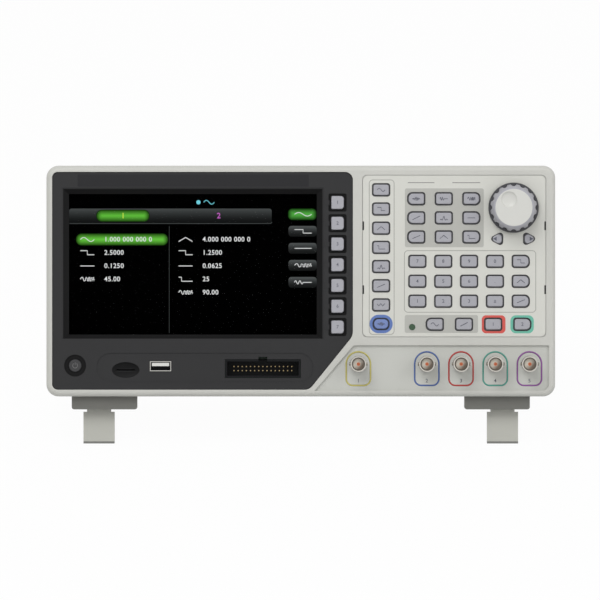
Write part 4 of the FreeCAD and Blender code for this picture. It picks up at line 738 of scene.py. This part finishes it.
sleeve_finish = finish("insulator", paint_sleeve)
black_finish = finish("black_plastic", moulded(srgb(46, 46, 48), srgb(36, 36, 38), 0.4 * mm, 0.015 * mm, 0.5))
board_finish = finish("solder_mask", moulded(srgb(38, 104, 62), srgb(28, 84, 50), 1.5 * mm, 0.01 * mm, 0.35))
dress(sleeve_finish, "bnc_insulators")
header_paint = moulded(srgb(19, 20, 22), srgb(13, 14, 16), 0.4 * mm, 0.01 * mm, 0.5)
dress(finish("header_plastic", header_paint, Specular_IOR_Level=0.15), "header_shroud")
dress(black_finish, "mains_inlet", "mains_rocker", "fan_frame", "fan_rotor", "card_slot")
dress(board_finish, "main_board", "port_board", "key_board")
tongue_paint = moulded(srgb(226, 226, 222), srgb(216, 216, 212), 0.4 * mm, 0.005 * mm, 0.4)
tongue_finish = finish("tongue_plastic", tongue_paint)
tongue = rounded_plate(-86.3 * mm, 19.7 * mm, 10.6 * mm, 2.0 * mm, 0.2 * mm, 1.12 * mm, 1.19 * mm)
seat("usb_tongue_face", [tongue], tongue_finish, "case")
light_finish = finish("light_lens", lambda place: (srgb(22, 66, 30), place.noise(1 * mm) * 0.1 + 0.1, None), coat=0.6)
dress(light_finish, "status_light")

# The outline round each front jack is a printed line in the channel's colour.
outline_front = 1.4 * mm - 0.03 * mm
outline_half = 7.45 * mm
outline_low = 6.8 * mm
jack_z = 20.0 * mm
jack_colours = {
    0: srgb(205, 195, 110),
    2: srgb(84, 110, 172),
    3: srgb(196, 70, 66),
    4: srgb(88, 166, 150),
    5: srgb(150, 92, 162),
}
for number, (step, colour) in enumerate(jack_colours.items()):
    x = 35.4 * mm + step * 21.05 * mm
    round_top = [
        (x + outline_half * math.cos(turn), jack_z + outline_half * math.sin(turn))
        for turn in (math.pi * part / 24 for part in range(25))
    ]
    corner = 4.0 * mm
    lower_left = [
        (x - outline_half + corner - corner * math.cos(turn), outline_low + corner - corner * math.sin(turn))
        for turn in (math.pi / 2 * part / 8 for part in range(9))
    ]
    lower_right = [(2 * x - px, pz) for px, pz in lower_left[::-1]]
    outline = round_top + lower_left + lower_right + [round_top[0]]
    line = stroke(outline, 1.0 * mm, outline_front)
    ink = finish(f"jack_ink_{number + 1}", flat_finish(colour, 0.5))
    seat(f"jack_outline_{number + 1}", [line], ink, "case")
    figure = written(str(number + 1), x, 9.6 * mm, 2.2 * mm, outline_front)
    seat(f"jack_number_{number + 1}", [figure], legend_ink, "case")

# The feet, the tilt legs and the handle are tough grey mouldings, with rubber soles.
sole_top = 1.3 * mm


def paint_leg(place):
    base, roughness, height = moulded(srgb(190, 190, 182), srgb(182, 182, 174), 0.4 * mm, 0.02 * mm, 0.52)(place)
    ground = place.tree.nodes["Texture Coordinate"].outputs["Object"]
    sole = Wire(place.tree, ground).parts()[2] < sole_top
    return sole.mix(base, srgb(120, 120, 116)), roughness, height


dress(finish("leg_plastic", paint_leg), "tilt_leg_left", "tilt_leg_right")
# The foot blocks and rear feet are a grey moulding, painted darker than the legs as painted shade under the casing.
foot_shaded_finish = finish("foot_rubber", moulded(srgb(112, 112, 107), srgb(102, 102, 97), 0.5 * mm, 0.03 * mm, 0.6))
dress(foot_shaded_finish, "foot_blocks", "rear_feet")
handle_paint = moulded(srgb(178, 178, 172), srgb(168, 168, 162), 0.4 * mm, 0.02 * mm, 0.5)
dress(finish("handle_plastic", handle_paint), "carry_handle")

# A plain pale floor, and soft light from a large lamp on each side with a bright room
# round it, at the level where a colour renders about as it is written.
bpy.ops.mesh.primitive_plane_add(size=12)
floor = bpy.context.object
floor.name = "floor"
floor_material = bpy.data.materials.new("floor_paper")
floor_material.use_nodes = True
tree = floor_material.node_tree
output = tree.nodes["Material Output"]
paper = tree.nodes["Principled BSDF"]
paper.inputs["Base Color"].default_value = (0.75, 0.75, 0.75, 1)
paper.inputs["Roughness"].default_value = 0.9
seen = tree.nodes.new("ShaderNodeLightPath")
white = tree.nodes.new("ShaderNodeEmission")
white.inputs["Color"].default_value = (1, 1, 1, 1)
camera_ray = Wire(tree, seen.outputs["Is Camera Ray"])
factor = (camera_ray * 0.97 + Wire(tree, seen.outputs["Is Glossy Ray"]) * 0.5).clear()
blend = tree.nodes.new("ShaderNodeMixShader")
tree.links.new(factor.socket, blend.inputs["Fac"])
tree.links.new(paper.outputs["BSDF"], blend.inputs[1])
tree.links.new(white.outputs["Emission"], blend.inputs[2])
tree.links.new(blend.outputs["Shader"], output.inputs["Surface"])
floor.data.materials.append(floor_material)

world = bpy.data.worlds.new("room")
bpy.context.scene.world = world
world.use_nodes = True
tree = world.node_tree
room = tree.nodes["Background"]
path = tree.nodes.new("ShaderNodeLightPath")
seen = Wire(tree, path.outputs["Is Camera Ray"])
seen = (seen + Wire(tree, path.outputs["Is Glossy Ray"]) + Wire(tree, path.outputs["Is Transmission Ray"])).clear()
room_light = 0.54
strength = seen * (1 - room_light) + room_light
room.inputs["Color"].default_value = (1, 1, 1, 1)
tree.links.new(strength.socket, room.inputs["Strength"])

# The camera looks straight at the face from some way off, as the photograph does.
picture_wide = 369 * mm
sensor = 36.0
lens = 600.0
aim = stance @ (Vector((-0.49, 0, 59.35)) * mm)
distance = picture_wide * lens / sensor
camera_data = bpy.data.cameras.new("camera")
camera_data.sensor_width = sensor
camera_data.lens = lens
camera_data.clip_end = 50
camera = bpy.data.objects.new("camera", camera_data)
bpy.context.scene.collection.objects.link(camera)
facing = Matrix((Vector((1, 0, 0)), upward, -backward)).transposed()
camera.matrix_world = Matrix.Translation(aim - backward * distance) @ facing.to_4x4()
bpy.context.scene.camera = camera


def soft_lamp(name, offset, size, watts):
    """A large square lamp at an offset from the aim, turned towards it."""
    lamp = bpy.data.lights.new(name, "AREA")
    lamp.shape = "SQUARE"
    lamp.size = size
    lamp.energy = watts
    holder = bpy.data.objects.new(name, lamp)
    bpy.context.scene.collection.objects.link(holder)
    holder.location = aim + Vector(offset)
    holder.rotation_mode = "QUATERNION"
    holder.rotation_quaternion = (-Vector(offset)).to_track_quat("-Z", "Y")


soft_lamp("lamp_high", (-0.5, -1.0, 1.5), 1.2, 15)
soft_lamp("lamp_side", (1.3, -0.9, 0.7), 1.0, 5)

bpy.context.scene.view_settings.view_transform = "Standard"
